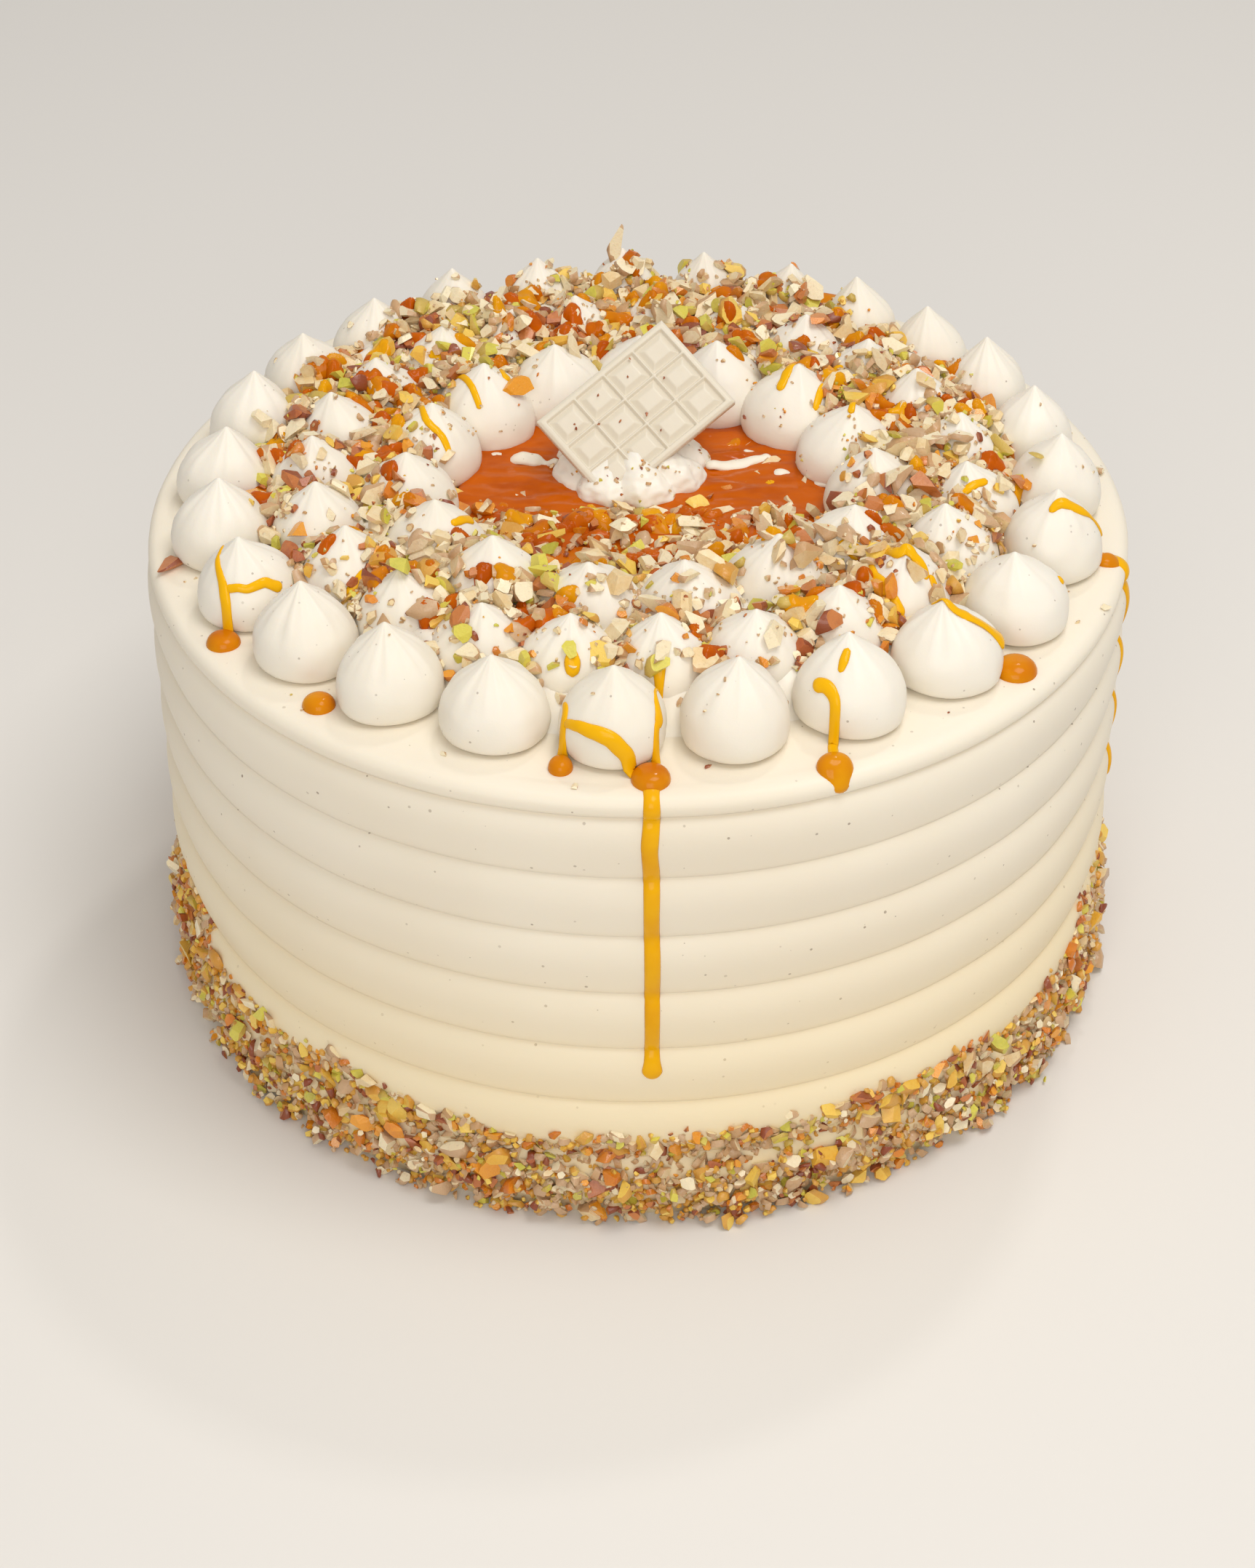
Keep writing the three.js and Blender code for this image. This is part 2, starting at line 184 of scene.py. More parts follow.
class Tree:
    # a thin hand on a node tree, so that a row of nodes reads as a sum

    def __init__(self, tree):
        self.tree = tree

    def add(self, kind, inputs=None, **settings):
        node = self.tree.nodes.new(kind)
        for key, value in settings.items():
            setattr(node, key, value)
        for key, value in (inputs or {}).items():
            self.feed(node.inputs[key], value)
        return node

    def feed(self, socket, value):
        if isinstance(value, bpy.types.NodeSocket):
            self.tree.links.new(value, socket)
        elif value is not None:
            socket.default_value = value

    def math(self, operation, a, b=None):
        node = self.tree.nodes.new("ShaderNodeMath")
        node.operation = operation
        self.feed(node.inputs[0], a)
        self.feed(node.inputs[1], b)
        return node.outputs[0]

    def vectorMath(self, operation, a, b=None):
        node = self.tree.nodes.new("ShaderNodeVectorMath")
        node.operation = operation
        self.feed(node.inputs[0], a)
        self.feed(node.inputs["Scale" if operation == "SCALE" else 1], b)
        return node.outputs["Value" if operation == "LENGTH" else "Vector"]

    def mix(self, factor, a, b):
        node = self.tree.nodes.new("ShaderNodeMix")
        node.data_type = "RGBA"
        self.feed(node.inputs["Factor"], factor)
        self.feed(node.inputs[6], a)
        self.feed(node.inputs[7], b)
        return node.outputs[2]

    def ramp(self, value, low, high, toLow=0.0, toHigh=1.0):
        node = self.add("ShaderNodeMapRange", {"Value": value, "From Min": low, "From Max": high,
                                              "To Min": toLow, "To Max": toHigh})
        node.interpolation_type = "SMOOTHSTEP"
        return node.outputs[0]


white = (1, 1, 1, 1)


def newGroup(name, treeKind, inputs, outputs):
    # inputs as (label, kind, default), outputs as (label, kind)
    tree = bpy.data.node_groups.new(name, treeKind)
    for label, kind, default in inputs:
        socket = tree.interface.new_socket(label, in_out="INPUT", socket_type=f"NodeSocket{kind}")
        if default is not None:
            socket.default_value = default
    for label, kind in outputs:
        tree.interface.new_socket(label, in_out="OUTPUT", socket_type=f"NodeSocket{kind}")
    hand = Tree(tree)
    return hand, hand.add("NodeGroupInput").outputs, hand.add("NodeGroupOutput")


# Materials

def noiseAt(hand, coordinates, scale, detail=2.0, roughness=0.5):
    node = hand.add("ShaderNodeTexNoise", {"Vector": coordinates, "Scale": scale, "Detail": detail,
                                           "Roughness": roughness})
    return node.outputs["Fac"]


def makeSpeckGroup():
    # sparse dark flecks of spice, as a mask, with the fleck's own strength
    hand, given, out = newGroup("speckle", "ShaderNodeTree",
                                [("Vector", "Vector", None), ("Scale", "Float", 220.0),
                                 ("Size", "Float", 0.12), ("Amount", "Float", 0.2)],
                                [("Mask", "Float")])
    cells = hand.add("ShaderNodeTexVoronoi", {"Vector": given["Vector"], "Scale": given["Scale"]})
    lot = hand.add("ShaderNodeSeparateColor", {"Color": cells.outputs["Color"]})
    size = hand.math("MULTIPLY", given["Size"], hand.math("ADD", lot.outputs[1], 0.4))
    dot = hand.math("LESS_THAN", cells.outputs["Distance"], size)
    chosen = hand.math("LESS_THAN", lot.outputs[0], given["Amount"])
    strength = hand.math("ADD", hand.math("MULTIPLY", lot.outputs[2], 0.6), 0.35)
    mask = hand.math("MULTIPLY", hand.math("MULTIPLY", dot, chosen), strength)
    hand.feed(out.inputs["Mask"], mask)
    return hand.tree


speckGroup = makeSpeckGroup()


def makeCreamGroup():
    # whipped cream: slow colour drift, fine pores and drag marks as height
    hand, given, out = newGroup("whippedCream", "ShaderNodeTree",
                                [("Vector", "Vector", None), ("Light", "Color", white),
                                 ("Deep", "Color", white), ("Specks", "Float", 1.0),
                                 ("Speck Scale", "Float", 230.0)],
                                [("Color", "Color"), ("Height", "Float"),
                                 ("Roughness", "Float")])
    drift = noiseAt(hand, given["Vector"], 14.0, 3.0)
    patch = hand.ramp(drift, 0.35, 0.68)
    cream = hand.mix(patch, given["Light"], given["Deep"])
    speck = hand.add("ShaderNodeGroup", node_tree=speckGroup)
    hand.feed(speck.inputs["Vector"], given["Vector"])
    hand.feed(speck.inputs["Scale"], given["Speck Scale"])
    speckMask = hand.math("MULTIPLY", speck.outputs["Mask"], given["Specks"])
    hand.feed(out.inputs["Color"], hand.mix(speckMask, cream, (0.16, 0.09, 0.05, 1)))
    pores = noiseAt(hand, given["Vector"], 900.0, 3.0, 0.6)
    sweep = noiseAt(hand, given["Vector"], 160.0, 2.0)
    height = hand.math("ADD", hand.math("MULTIPLY", pores, 0.35), hand.math("MULTIPLY", sweep, 0.65))
    hand.feed(out.inputs["Height"], hand.math("SUBTRACT", height, hand.math("MULTIPLY", speckMask, 0.3)))
    hand.feed(out.inputs["Roughness"], hand.ramp(drift, 0.3, 0.7, 0.42, 0.58))
    return hand.tree


creamGroup = makeCreamGroup()


def newMaterial(name):
    material = bpy.data.materials.new(name)
    material.use_nodes = True
    hand = Tree(material.node_tree)
    shader = material.node_tree.nodes["Principled BSDF"]
    coordinates = hand.add("ShaderNodeTexCoord").outputs["Object"]
    return material, hand, shader, coordinates


def addBump(hand, shader, height, distance, strength):
    bump = hand.add("ShaderNodeBump", {"Height": height, "Distance": distance, "Strength": strength})
    hand.feed(shader.inputs["Normal"], bump.outputs[0])


def makeCreamMaterial(name, look):
    material, hand, shader, coordinates = newMaterial(name)
    group = hand.add("ShaderNodeGroup", node_tree=creamGroup)
    hand.feed(group.inputs["Vector"], coordinates)
    group.inputs["Light"].default_value = (*look["light"], 1)
    group.inputs["Deep"].default_value = (*look["deep"], 1)
    group.inputs["Specks"].default_value = look["specks"]
    group.inputs["Speck Scale"].default_value = look["speckScale"]
    height = hand.add("ShaderNodeSeparateXYZ", {"Vector": coordinates}).outputs["Z"]
    # painted reflection: low on the wall the cream is mixed into the foot colour, a warm yellow standing in
    # for warm light bounced up from below
    paintedBounce = hand.ramp(height, 0.01, 0.085, look["paintedBounceShare"], 0.0)
    hand.feed(shader.inputs["Base Color"], hand.mix(paintedBounce, group.outputs["Color"], (*look["foot"], 1)))
    hand.feed(shader.inputs["Roughness"], group.outputs["Roughness"])
    addBump(hand, shader, group.outputs["Height"], look["bump"], 0.5)
    shader.inputs["Subsurface Weight"].default_value = look["soft"]
    shader.inputs["Subsurface Radius"].default_value = (1.0, 0.75, 0.45)
    shader.inputs["Subsurface Scale"].default_value = 0.004
    shader.inputs["Specular IOR Level"].default_value = 0.42
    return material


# the foot colour and its share are a painted warm reflection on the lower wall; the piped cream gets none
frostingLook = {"light": (0.86, 0.79, 0.66), "deep": (0.83, 0.75, 0.61), "specks": 0.7, "speckScale": 480.0,
                "bump": 0.00016, "soft": 0.12, "foot": (0.90, 0.75, 0.47), "paintedBounceShare": 0.85}
pipedLook = {"light": (0.87, 0.82, 0.725), "deep": (0.85, 0.79, 0.675), "specks": 0.55, "speckScale": 560.0,
             "bump": 0.00022, "soft": 0.15, "foot": (0.87, 0.82, 0.725), "paintedBounceShare": 0.0}

frostingMaterial = makeCreamMaterial("combedFrosting", frostingLook)
pipedMaterial = makeCreamMaterial("pipedCream", pipedLook)


chocolateLook = {"light": (0.74, 0.675, 0.55, 1), "deep": (0.71, 0.64, 0.515, 1), "bump": 0.0001}


def makeChocolateMaterial():
    look = chocolateLook
    material, hand, shader, coordinates = newMaterial("whiteChocolate")
    drift = noiseAt(hand, coordinates, 60.0, 3.0)
    hand.feed(shader.inputs["Base Color"], hand.mix(drift, look["light"], look["deep"]))
    hand.feed(shader.inputs["Roughness"], hand.ramp(noiseAt(hand, coordinates, 240.0), 0.3, 0.7, 0.34, 0.5))
    addBump(hand, shader, noiseAt(hand, coordinates, 700.0, 3.0), look["bump"], 0.35)
    shader.inputs["Subsurface Weight"].default_value = 0.1
    shader.inputs["Subsurface Radius"].default_value = (1.0, 0.8, 0.5)
    shader.inputs["Subsurface Scale"].default_value = 0.003
    return material


caramelLook = {"thin": (0.86, 0.45, 0.004, 1), "thick": (0.54, 0.105, 0.001, 1),
               "deep": (0.34, 0.045, 0.001, 1), "stretch": (0.45, 1.0, 1.0), "bump": 0.0004, "gloss": 0.14}


def makeCaramelMaterial():
    # thin runs show golden, thick drops a deep orange; depth is stored on the mesh, from 0 to 1
    look = caramelLook
    material, hand, shader, coordinates = newMaterial("caramel")
    depth = hand.add("ShaderNodeAttribute", attribute_name="depth").outputs["Fac"]
    drift = noiseAt(hand, coordinates, 90.0, 3.0)
    streak = noiseAt(hand, hand.vectorMath("MULTIPLY", coordinates, look["stretch"]), 120.0, 3.0, 0.6)
    amount = hand.math("ADD", depth, hand.math("MULTIPLY", hand.math("SUBTRACT", drift, 0.5), 0.5))
    colour = hand.mix(hand.ramp(amount, 0.1, 0.75), look["thin"], look["thick"])
    darker = hand.math("MULTIPLY", hand.ramp(streak, 0.42, 0.7), hand.ramp(depth, 0.3, 0.9, 0.0, 0.6))
    hand.feed(shader.inputs["Base Color"], hand.mix(darker, colour, look["deep"]))
    hand.feed(shader.inputs["Roughness"], hand.ramp(drift, 0.3, 0.7, 0.08, 0.18))
    addBump(hand, shader, noiseAt(hand, coordinates, 260.0, 2.0), look["bump"], 0.4)
    shader.inputs["Specular IOR Level"].default_value = look["gloss"]
    return material


def makeNutGroup():
    # a chopped nut: cut faces of one colour, papery skin of another, each piece a little different
    hand, given, out = newGroup("choppedNut", "ShaderNodeTree",
                                [("Vector", "Vector", None), ("Cut", "Color", white),
                                 ("Cut Dark", "Color", white), ("Skin", "Color", white),
                                 ("Skin Share", "Float", 0.5), ("Roast", "Float", 0.3)],
                                [("Color", "Color"), ("Height", "Float")])
    skin = hand.add("ShaderNodeAttribute", attribute_name="skin").outputs["Fac"]
    tone = hand.add("ShaderNodeAttribute", attribute_name="tone").outputs["Fac"]
    blotch = noiseAt(hand, given["Vector"], 520.0, 3.0, 0.6)
    cut = hand.mix(hand.ramp(hand.math("ADD", tone, hand.math("SUBTRACT", blotch, 0.5)), 0.3, 1.2),
                   given["Cut"], given["Cut Dark"])
    cover = hand.math("ADD", skin, hand.math("SUBTRACT", blotch, 0.5))
    cover = hand.math("MULTIPLY", hand.ramp(cover, 0.42, 0.62), given["Skin Share"])
    colour = hand.mix(cover, cut, given["Skin"])
    toasted = hand.ramp(noiseAt(hand, given["Vector"], 1400.0, 2.0), 0.55, 0.75)
    roast = hand.math("MULTIPLY", toasted, given["Roast"])
    hand.feed(out.inputs["Color"], hand.mix(roast, colour, (0.22, 0.10, 0.03, 1)))
    hand.feed(out.inputs["Height"], noiseAt(hand, given["Vector"], 1800.0, 3.0, 0.65))
    return hand.tree


nutGroup = makeNutGroup()


def makeNutMaterial(name, look):
    material, hand, shader, coordinates = newMaterial(name)
    group = hand.add("ShaderNodeGroup", node_tree=nutGroup)
    hand.feed(group.inputs["Vector"], coordinates)
    for label, key in (("Cut", "cut"), ("Cut Dark", "cutDark"), ("Skin", "skin")):
        group.inputs[label].default_value = (*look[key], 1)
    group.inputs["Skin Share"].default_value = look["skinShare"]
    group.inputs["Roast"].default_value = look["roast"]
    hand.feed(shader.inputs["Base Color"], group.outputs["Color"])
    addBump(hand, shader, group.outputs["Height"], 0.00025, 0.6)
    shader.inputs["Roughness"].default_value = look["roughness"]
    shader.inputs["Coat Weight"].default_value = look["coat"]
    shader.inputs["Coat Roughness"].default_value = 0.15
    shader.inputs["Subsurface Weight"].default_value = 0.1
    shader.inputs["Subsurface Radius"].default_value = (1.0, 0.6, 0.3)
    shader.inputs["Subsurface Scale"].default_value = 0.0015
    return material


nutLooks = {
    "paleNut": {"cut": (0.88, 0.76, 0.52), "cutDark": (0.76, 0.55, 0.27), "skin": (0.42, 0.17, 0.045),
                "skinShare": 0.65, "roast": 0.15, "roughness": 0.38, "coat": 0.3},
    "brownNut": {"cut": (0.58, 0.20, 0.05), "cutDark": (0.36, 0.08, 0.02), "skin": (0.24, 0.045, 0.012),
                 "skinShare": 0.9, "roast": 0.2, "roughness": 0.35, "coat": 0.3},
    "caramelNut": {"cut": (0.82, 0.34, 0.02), "cutDark": (0.68, 0.20, 0.008), "skin": (0.55, 0.14, 0.008),
                   "skinShare": 0.7, "roast": 0.1, "roughness": 0.2, "coat": 0.5},
    "goldenNut": {"cut": (0.87, 0.60, 0.11), "cutDark": (0.78, 0.42, 0.04), "skin": (0.58, 0.24, 0.03),
                  "skinShare": 0.7, "roast": 0.12, "roughness": 0.35, "coat": 0.25},
    "greenNut": {"cut": (0.72, 0.63, 0.09), "cutDark": (0.48, 0.44, 0.045), "skin": (0.50, 0.27, 0.08),
                 "skinShare": 0.6, "roast": 0.08, "roughness": 0.4, "coat": 0.2},
}

chocolateMaterial = makeChocolateMaterial()
caramelMaterial = makeCaramelMaterial()
nutMaterials = {kind: makeNutMaterial(kind, look) for kind, look in nutLooks.items()}
print("materials made")


# The drum of frosting

drum = {
    "creaseRadius": 102.0, "ribBulge": 2.1, "ribPitch": 14.4, "ribCount": 7, "ribPeak": 0.7, "ribRound": 0.8,
    "topCrease": 103.7, "top": 108.6, "rimRadius": 103.2, "around": 320, "perRib": 20, "waviness": 0.28,
}


def plainDrum():
    # a smooth drum with its rows already at the creases; the ribs come from the node tree
    d = drum
    profile = [(d["creaseRadius"] * s, 0.0) for s in (0.3, 0.6, 0.9, 0.985)]
    profile += [(d["creaseRadius"] - 0.2, 0.4)]
    low = d["topCrease"] - d["ribCount"] * d["ribPitch"]
    steps = d["perRib"]
    for rib in range(d["ribCount"]):
        for k in range(steps):
            t = 0.5 - 0.5 * math.cos(math.pi * k / steps)       # closer rows next to the creases
            profile.append((d["creaseRadius"], low + (rib + t) * d["ribPitch"]))
    rim = curveThrough([(d["creaseRadius"], d["topCrease"]), (d["rimRadius"] - 0.25, d["topCrease"] + 0.9),
                        (d["rimRadius"] + 0.1, d["topCrease"] + 2.0), (d["rimRadius"] - 0.1, d["top"] - 1.6),
                        (d["rimRadius"] - 1.2, d["top"] - 0.45), (d["rimRadius"] - 3.0, d["top"] - 0.05),
                        (d["rimRadius"] - 5.5, d["top"])], 24)
    profile += [tuple(p) for p in rim]
    inward = np.linspace(d["rimRadius"] - 8, 6, 34)
    profile += [(r, d["top"]) for r in inward]
    profile = np.array(profile)
    turn = np.linspace(0, 2 * np.pi, d["around"], endpoint=False)
    grid = np.empty((len(profile), len(turn), 3))
    grid[..., 0] = profile[:, :1] * np.cos(turn)
    grid[..., 1] = profile[:, :1] * np.sin(turn)
    grid[..., 2] = profile[:, 1:2]
    points, faces = closedTurning(grid)
    return meshFrom("frosting", points, faces, frostingMaterial)


def makeRibTree():
    # pushes the wall out into ribs, and makes wall and top as uneven as a hand-held comb leaves them
    hand, given, out = newGroup("combedRibs", "GeometryNodeTree",
                                [("Geometry", "Geometry", None), ("Rib Pitch", "Float", 0.0144),
                                 ("Rib Bulge", "Float", 0.0021), ("Top Crease", "Float", 0.1037),
                                 ("Wall Radius", "Float", 0.102), ("Waviness", "Float", 0.0003),
                                 ("Material", "Material", None)],
                                [("Geometry", "Geometry")])
    position = hand.add("GeometryNodeInputPosition").outputs[0]
    parts = hand.add("ShaderNodeSeparateXYZ", {"Vector": position}).outputs
    flat = hand.add("ShaderNodeCombineXYZ", {"X": parts["X"], "Y": parts["Y"]}).outputs[0]
    reach = hand.vectorMath("LENGTH", flat)
    outward = hand.vectorMath("NORMALIZE", flat)
    below = hand.math("SUBTRACT", given["Top Crease"], parts["Z"])
    share = hand.math("FRACT", hand.math("ADD", hand.math("DIVIDE", below, given["Rib Pitch"]), 10.0))
    rib = hand.math("SINE", hand.math("MULTIPLY", hand.math("POWER", share, drum["ribPeak"]), math.pi))
    rib = hand.math("POWER", hand.math("MAXIMUM", rib, 0.0), drum["ribRound"])
    onWall = hand.math("MULTIPLY", hand.math("GREATER_THAN", below, 0.0),
                       hand.math("GREATER_THAN", reach, hand.math("MULTIPLY", given["Wall Radius"], 0.99)))
    foot = hand.ramp(parts["Z"], 0.0, 0.004)
    bulge = hand.math("MULTIPLY", foot, given["Rib Bulge"])
    rib = hand.math("MULTIPLY", hand.math("MULTIPLY", rib, onWall), bulge)
    slow = hand.add("ShaderNodeTexNoise", {"Vector": position, "Scale": 22.0, "Detail": 2.0}).outputs[0]
    stretched = hand.vectorMath("MULTIPLY", position, (1.0, 1.0, 0.25))
    drag = hand.add("ShaderNodeTexNoise", {"Vector": stretched, "Scale": 70.0, "Detail": 3.0}).outputs[0]
    uneven = hand.math("ADD", hand.math("SUBTRACT", slow, 0.5),
                       hand.math("MULTIPLY", hand.math("SUBTRACT", drag, 0.5), 0.5))
    uneven = hand.math("MULTIPLY", uneven, hand.math("MULTIPLY", given["Waviness"], 2.0))
    push = hand.math("ADD", rib, hand.math("MULTIPLY", uneven, foot))
    side = hand.vectorMath("SCALE", outward, push)
    topShare = hand.math("LESS_THAN", reach, hand.math("MULTIPLY", given["Wall Radius"], 0.97))
    lift = hand.math("MULTIPLY", hand.math("MULTIPLY", uneven, topShare), hand.ramp(parts["Z"], 0.1, 0.108))
    upward = hand.add("ShaderNodeCombineXYZ", {"Z": lift}).outputs[0]
    offset = hand.vectorMath("ADD", side, upward)
    moved = hand.add("GeometryNodeSetPosition", {"Geometry": given["Geometry"], "Offset": offset}).outputs[0]
    whole = hand.add("GeometryNodeRealizeInstances", {"Geometry": moved}).outputs[0]
    done = hand.add("GeometryNodeSetMaterial", {"Geometry": whole, "Material": given["Material"]}).outputs[0]
    hand.feed(out.inputs["Geometry"], done)
    return hand.tree


def makeFrosting():
    obj = plainDrum()
    sizes = {"Rib Pitch": "ribPitch", "Rib Bulge": "ribBulge", "Top Crease": "topCrease",
             "Wall Radius": "creaseRadius", "Waviness": "waviness"}
    values = {label: drum[key] * mm for label, key in sizes.items()}
    addModifierTree(obj, makeRibTree(), {**values, "Material": frostingMaterial})
    bakeDown(obj)
    finishPiece(obj, ["cake"])


makeFrosting()
print("frosting made")


def wallRadius(height):
    # how far out the wall stands at a height, in mm
    if height > drum["topCrease"]:
        return drum["rimRadius"]
    share = ((drum["topCrease"] - height) / drum["ribPitch"]) % 1
    rib = max(0.0, math.sin(math.pi * share ** drum["ribPeak"])) ** drum["ribRound"]
    return drum["creaseRadius"] + drum["ribBulge"] * rib


# Dollops

dollops = {
    "form": [(0.80, 0.0), (0.95, 0.06), (1.0, 0.18), (0.985, 0.32), (0.92, 0.45), (0.80, 0.57),
             (0.64, 0.685), (0.455, 0.78), (0.275, 0.865), (0.13, 0.94), (0.045, 0.985), (0.0, 1.0)],
    "rows": 34, "around": 56, "lump": 0.035, "streaks": (7, 11, 17), "streakDepth": 0.07, "tipLean": 1.5,
    "middle": {"count": 23, "start": 180.0, "spacing": 20.4, "radius": 10.2},
    "inner": {"count": 15, "start": 186.0, "spacing": 19.7, "radius": 11.2}, "height": 17.4, "seed": 5,
}


def nestRadius(azimuth, ring, spacing):
    # how far out along an azimuth a dollop can stand before it comes within spacing of a ring
    nearest = math.inf
    for other in ring:
        across = math.atan2(other["y"], other["x"]) - math.radians(azimuth)
        reach = math.hypot(other["x"], other["y"])
        aside = reach * math.sin(across)
        if abs(aside) < spacing and math.cos(across) > 0:
            nearest = min(nearest, reach * math.cos(across) - math.sqrt(spacing ** 2 - aside ** 2))
    return nearest


def outerPlaces():
    places = []
    for name in sorted(n for n in frame["nodes"] if n.startswith("dollop_outer")):
        low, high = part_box(name)
        places.append({"name": name, "x": (low.x + high.x) / 2 / mm, "y": (low.y + high.y) / 2 / mm,
                       "radius": (high.x - low.x) / 2 / mm, "height": (high.z / mm - drum["top"])})
    return places


def nestedPlaces(prefix, ring, outside, rng):
    places = []
    for i in range(ring["count"]):
        azimuth = ring["start"] + 360 * i / ring["count"]
        reach = nestRadius(azimuth, outside, ring["spacing"])
        places.append({"name": f"{prefix}_{i + 1:02d}", "x": reach * math.cos(math.radians(azimuth)),
                       "y": reach * math.sin(math.radians(azimuth)), "radius": ring["radius"],
                       "height": dollops["height"] * rng.uniform(0.93, 1.03)})
    return places


def dollopPoints(place, rng):
    # a plump piped dollop with a drawn-up tip, none quite like the next
    rows, around = dollops["rows"], dollops["around"]
    profile = curveThrough(dollops["form"], rows)[:-1]
    turn = np.linspace(0, 2 * np.pi, around, endpoint=False)
    lean = rng.uniform(0, 2 * np.pi)
    bend = dollops["tipLean"] * rng.uniform(0.2, 1.0)
    oval = 1 + dollops["lump"] * np.cos(2 * turn + rng.uniform(0, 6)) * rng.uniform(0.3, 1)
    oval += 0.5 * dollops["lump"] * np.cos(3 * turn + rng.uniform(0, 6))
    streak = sum(np.cos(k * turn + rng.uniform(0, 6)) * rng.uniform(0.3, 1) for k in dollops["streaks"]) / 2
    grid = np.empty((len(profile), around, 3))
    offset = rng.uniform(0, 100)
    for i, (wide, high) in enumerate(profile):
        streaky = dollops["streakDepth"] * streak * smooth(0.35, 0.85, high)
        reach = place["radius"] * wide * (1 + (oval - 1) * (1 - 0.6 * high) + streaky)
        shift = bend * smooth(0.45, 1.0, high) ** 1.5
        x = place["x"] + reach * np.cos(turn) + shift * math.cos(lean)
        y = place["y"] + reach * np.sin(turn) + shift * math.sin(lean)
        z = drum["top"] + high * place["height"]
        for j in range(around):
            dent = noise.noise(Vector((x[j] * 0.16, y[j] * 0.16, z * 0.16 + offset))) * 0.45
            dent += noise.noise(Vector((x[j] * 0.6, y[j] * 0.6, z * 0.35 + offset))) * 0.14
            grow = dent * smooth(0.0, 0.1, high) * (1 - 0.7 * high)
            grid[i, j] = (x[j] + grow * math.cos(turn[j]), y[j] + grow * math.sin(turn[j]), z)
    return grid


def makeDollop(place, rng):
    points, faces = closedTurning(dollopPoints(place, rng))
    obj = meshFrom(place["name"].replace("dollop", "kiss"), points, faces, pipedMaterial)
    finishPiece(obj, [place["name"]])


rng = np.random.default_rng(dollops["seed"])
outer = outerPlaces()
middle = nestedPlaces("dollop_middle", dollops["middle"], outer, rng)
inner = nestedPlaces("dollop_inner", dollops["inner"], middle, rng)
for place in outer + middle:
    makeDollop(place, rng)


def makeInnerRing():
    allPoints, allFaces = [], []
    for place in inner:
        points, faces = closedTurning(dollopPoints(place, rng))
        start = sum(len(p) for p in allPoints)
        allPoints.append(points)
        allFaces += [tuple(start + i for i in face) for face in faces]
    obj = meshFrom("kisses_inner", np.vstack(allPoints), allFaces, pipedMaterial)
    finishPiece(obj, ["dollops_inner"])


makeInnerRing()
print("dollops made:", len(outer), len(middle), len(inner))


# Rosette

rosette = {"x": -1.4, "y": 13.0, "radius": 17.4, "depth": 0.12, "firstLobe": -73.6, "twist": 0.42,
           "lobes": (9.8, 8.8, 8.0, 9.0, 9.0, 8.5, 8.2, 9.2), "crest": 6.0, "crestY": 3.0, "spread": 7.0,
           "rows": 70, "around": 304}
rosetteForm = [(0.86, 0.0), (0.97, 0.10), (1.0, 0.24), (0.965, 0.42), (0.87, 0.62), (0.72, 0.80),
               (0.52, 0.92), (0.30, 0.98), (0.12, 1.0), (0.0, 1.0)]


def lobeHeights(turn):
    # each lobe's own height, eased into the next one's
    lobes = np.array(rosette["lobes"])
    along = (np.degrees(turn) - rosette["firstLobe"]) / 360 % 1 * len(lobes)
    k = along.astype(int) % len(lobes)
    share = 0.5 - 0.5 * np.cos(np.pi * (along % 1))
    return lobes[k] * (1 - share) + lobes[(k + 1) % len(lobes)] * share


def makeRosette():
    # a ring of ruffled lobes that holds the plaque's lower corner, with a crest behind it
    s = rosette
    count = len(s["lobes"])
    turn = np.linspace(0, 2 * np.pi, s["around"], endpoint=False)
    profile = curveThrough(rosetteForm, s["rows"])[:-1]
    even = np.mean(s["lobes"])
    grid = np.empty((len(profile), s["around"], 3))
    for i, (wide, high) in enumerate(profile):
        phase = count * (turn - math.radians(s["firstLobe"]) + s["twist"] * (1 - wide))
        lobe = np.abs(np.cos(phase / 2)) ** 0.8
        fold = 0.5 + 0.5 * np.cos(2 * phase + 5.0 * wide + 2.2 * high)
        reach = s["radius"] * wide * (1 - s["depth"] * (1 - lobe) - 0.03 * fold * smooth(0.2, 0.6, wide))
        aside, along = reach * np.cos(turn), reach * np.sin(turn)
        crest = s["crest"] * np.exp(-(aside ** 2 + (along - s["crestY"]) ** 2) / s["spread"] ** 2)
        spread = min(1.0, 2.5 * wide)
        height = (even + (lobeHeights(turn) - even) * spread) * (1 - 0.14 * (1 - lobe) * spread) + crest
        for j in range(s["around"]):
            x, y, z = s["x"] + aside[j], s["y"] + along[j], drum["top"] + high * height[j]
            dent = 0.6 * noise.noise(Vector((x * 0.2, y * 0.2, z * 0.3)))
            dent += 0.28 * noise.noise(Vector((x * 0.55, y * 0.55, z * 0.8)))
            dent *= smooth(0.0, 0.1, high)
            grid[i, j] = (x + dent * math.cos(turn[j]), y + dent * math.sin(turn[j]), z + 0.7 * dent * high)
    points, faces = closedTurning(grid)
    finishPiece(meshFrom("rosetteSwirl", points, faces, pipedMaterial), ["rosette"])


makeRosette()


# Plaque

plaque = {"x": -0.4, "y": 14.0, "z": 122.6, "wide": 35.0, "tall": 24.0, "thick": 2.5, "rim": 1.5,
          "ridge": 0.5, "sunk": 0.85, "slope": 1.4, "foot": 0.22, "lean": 49.0, "roll": 40.5,
          "columns": 4, "rows": 3, "step": 0.2, "edge": 0.35}


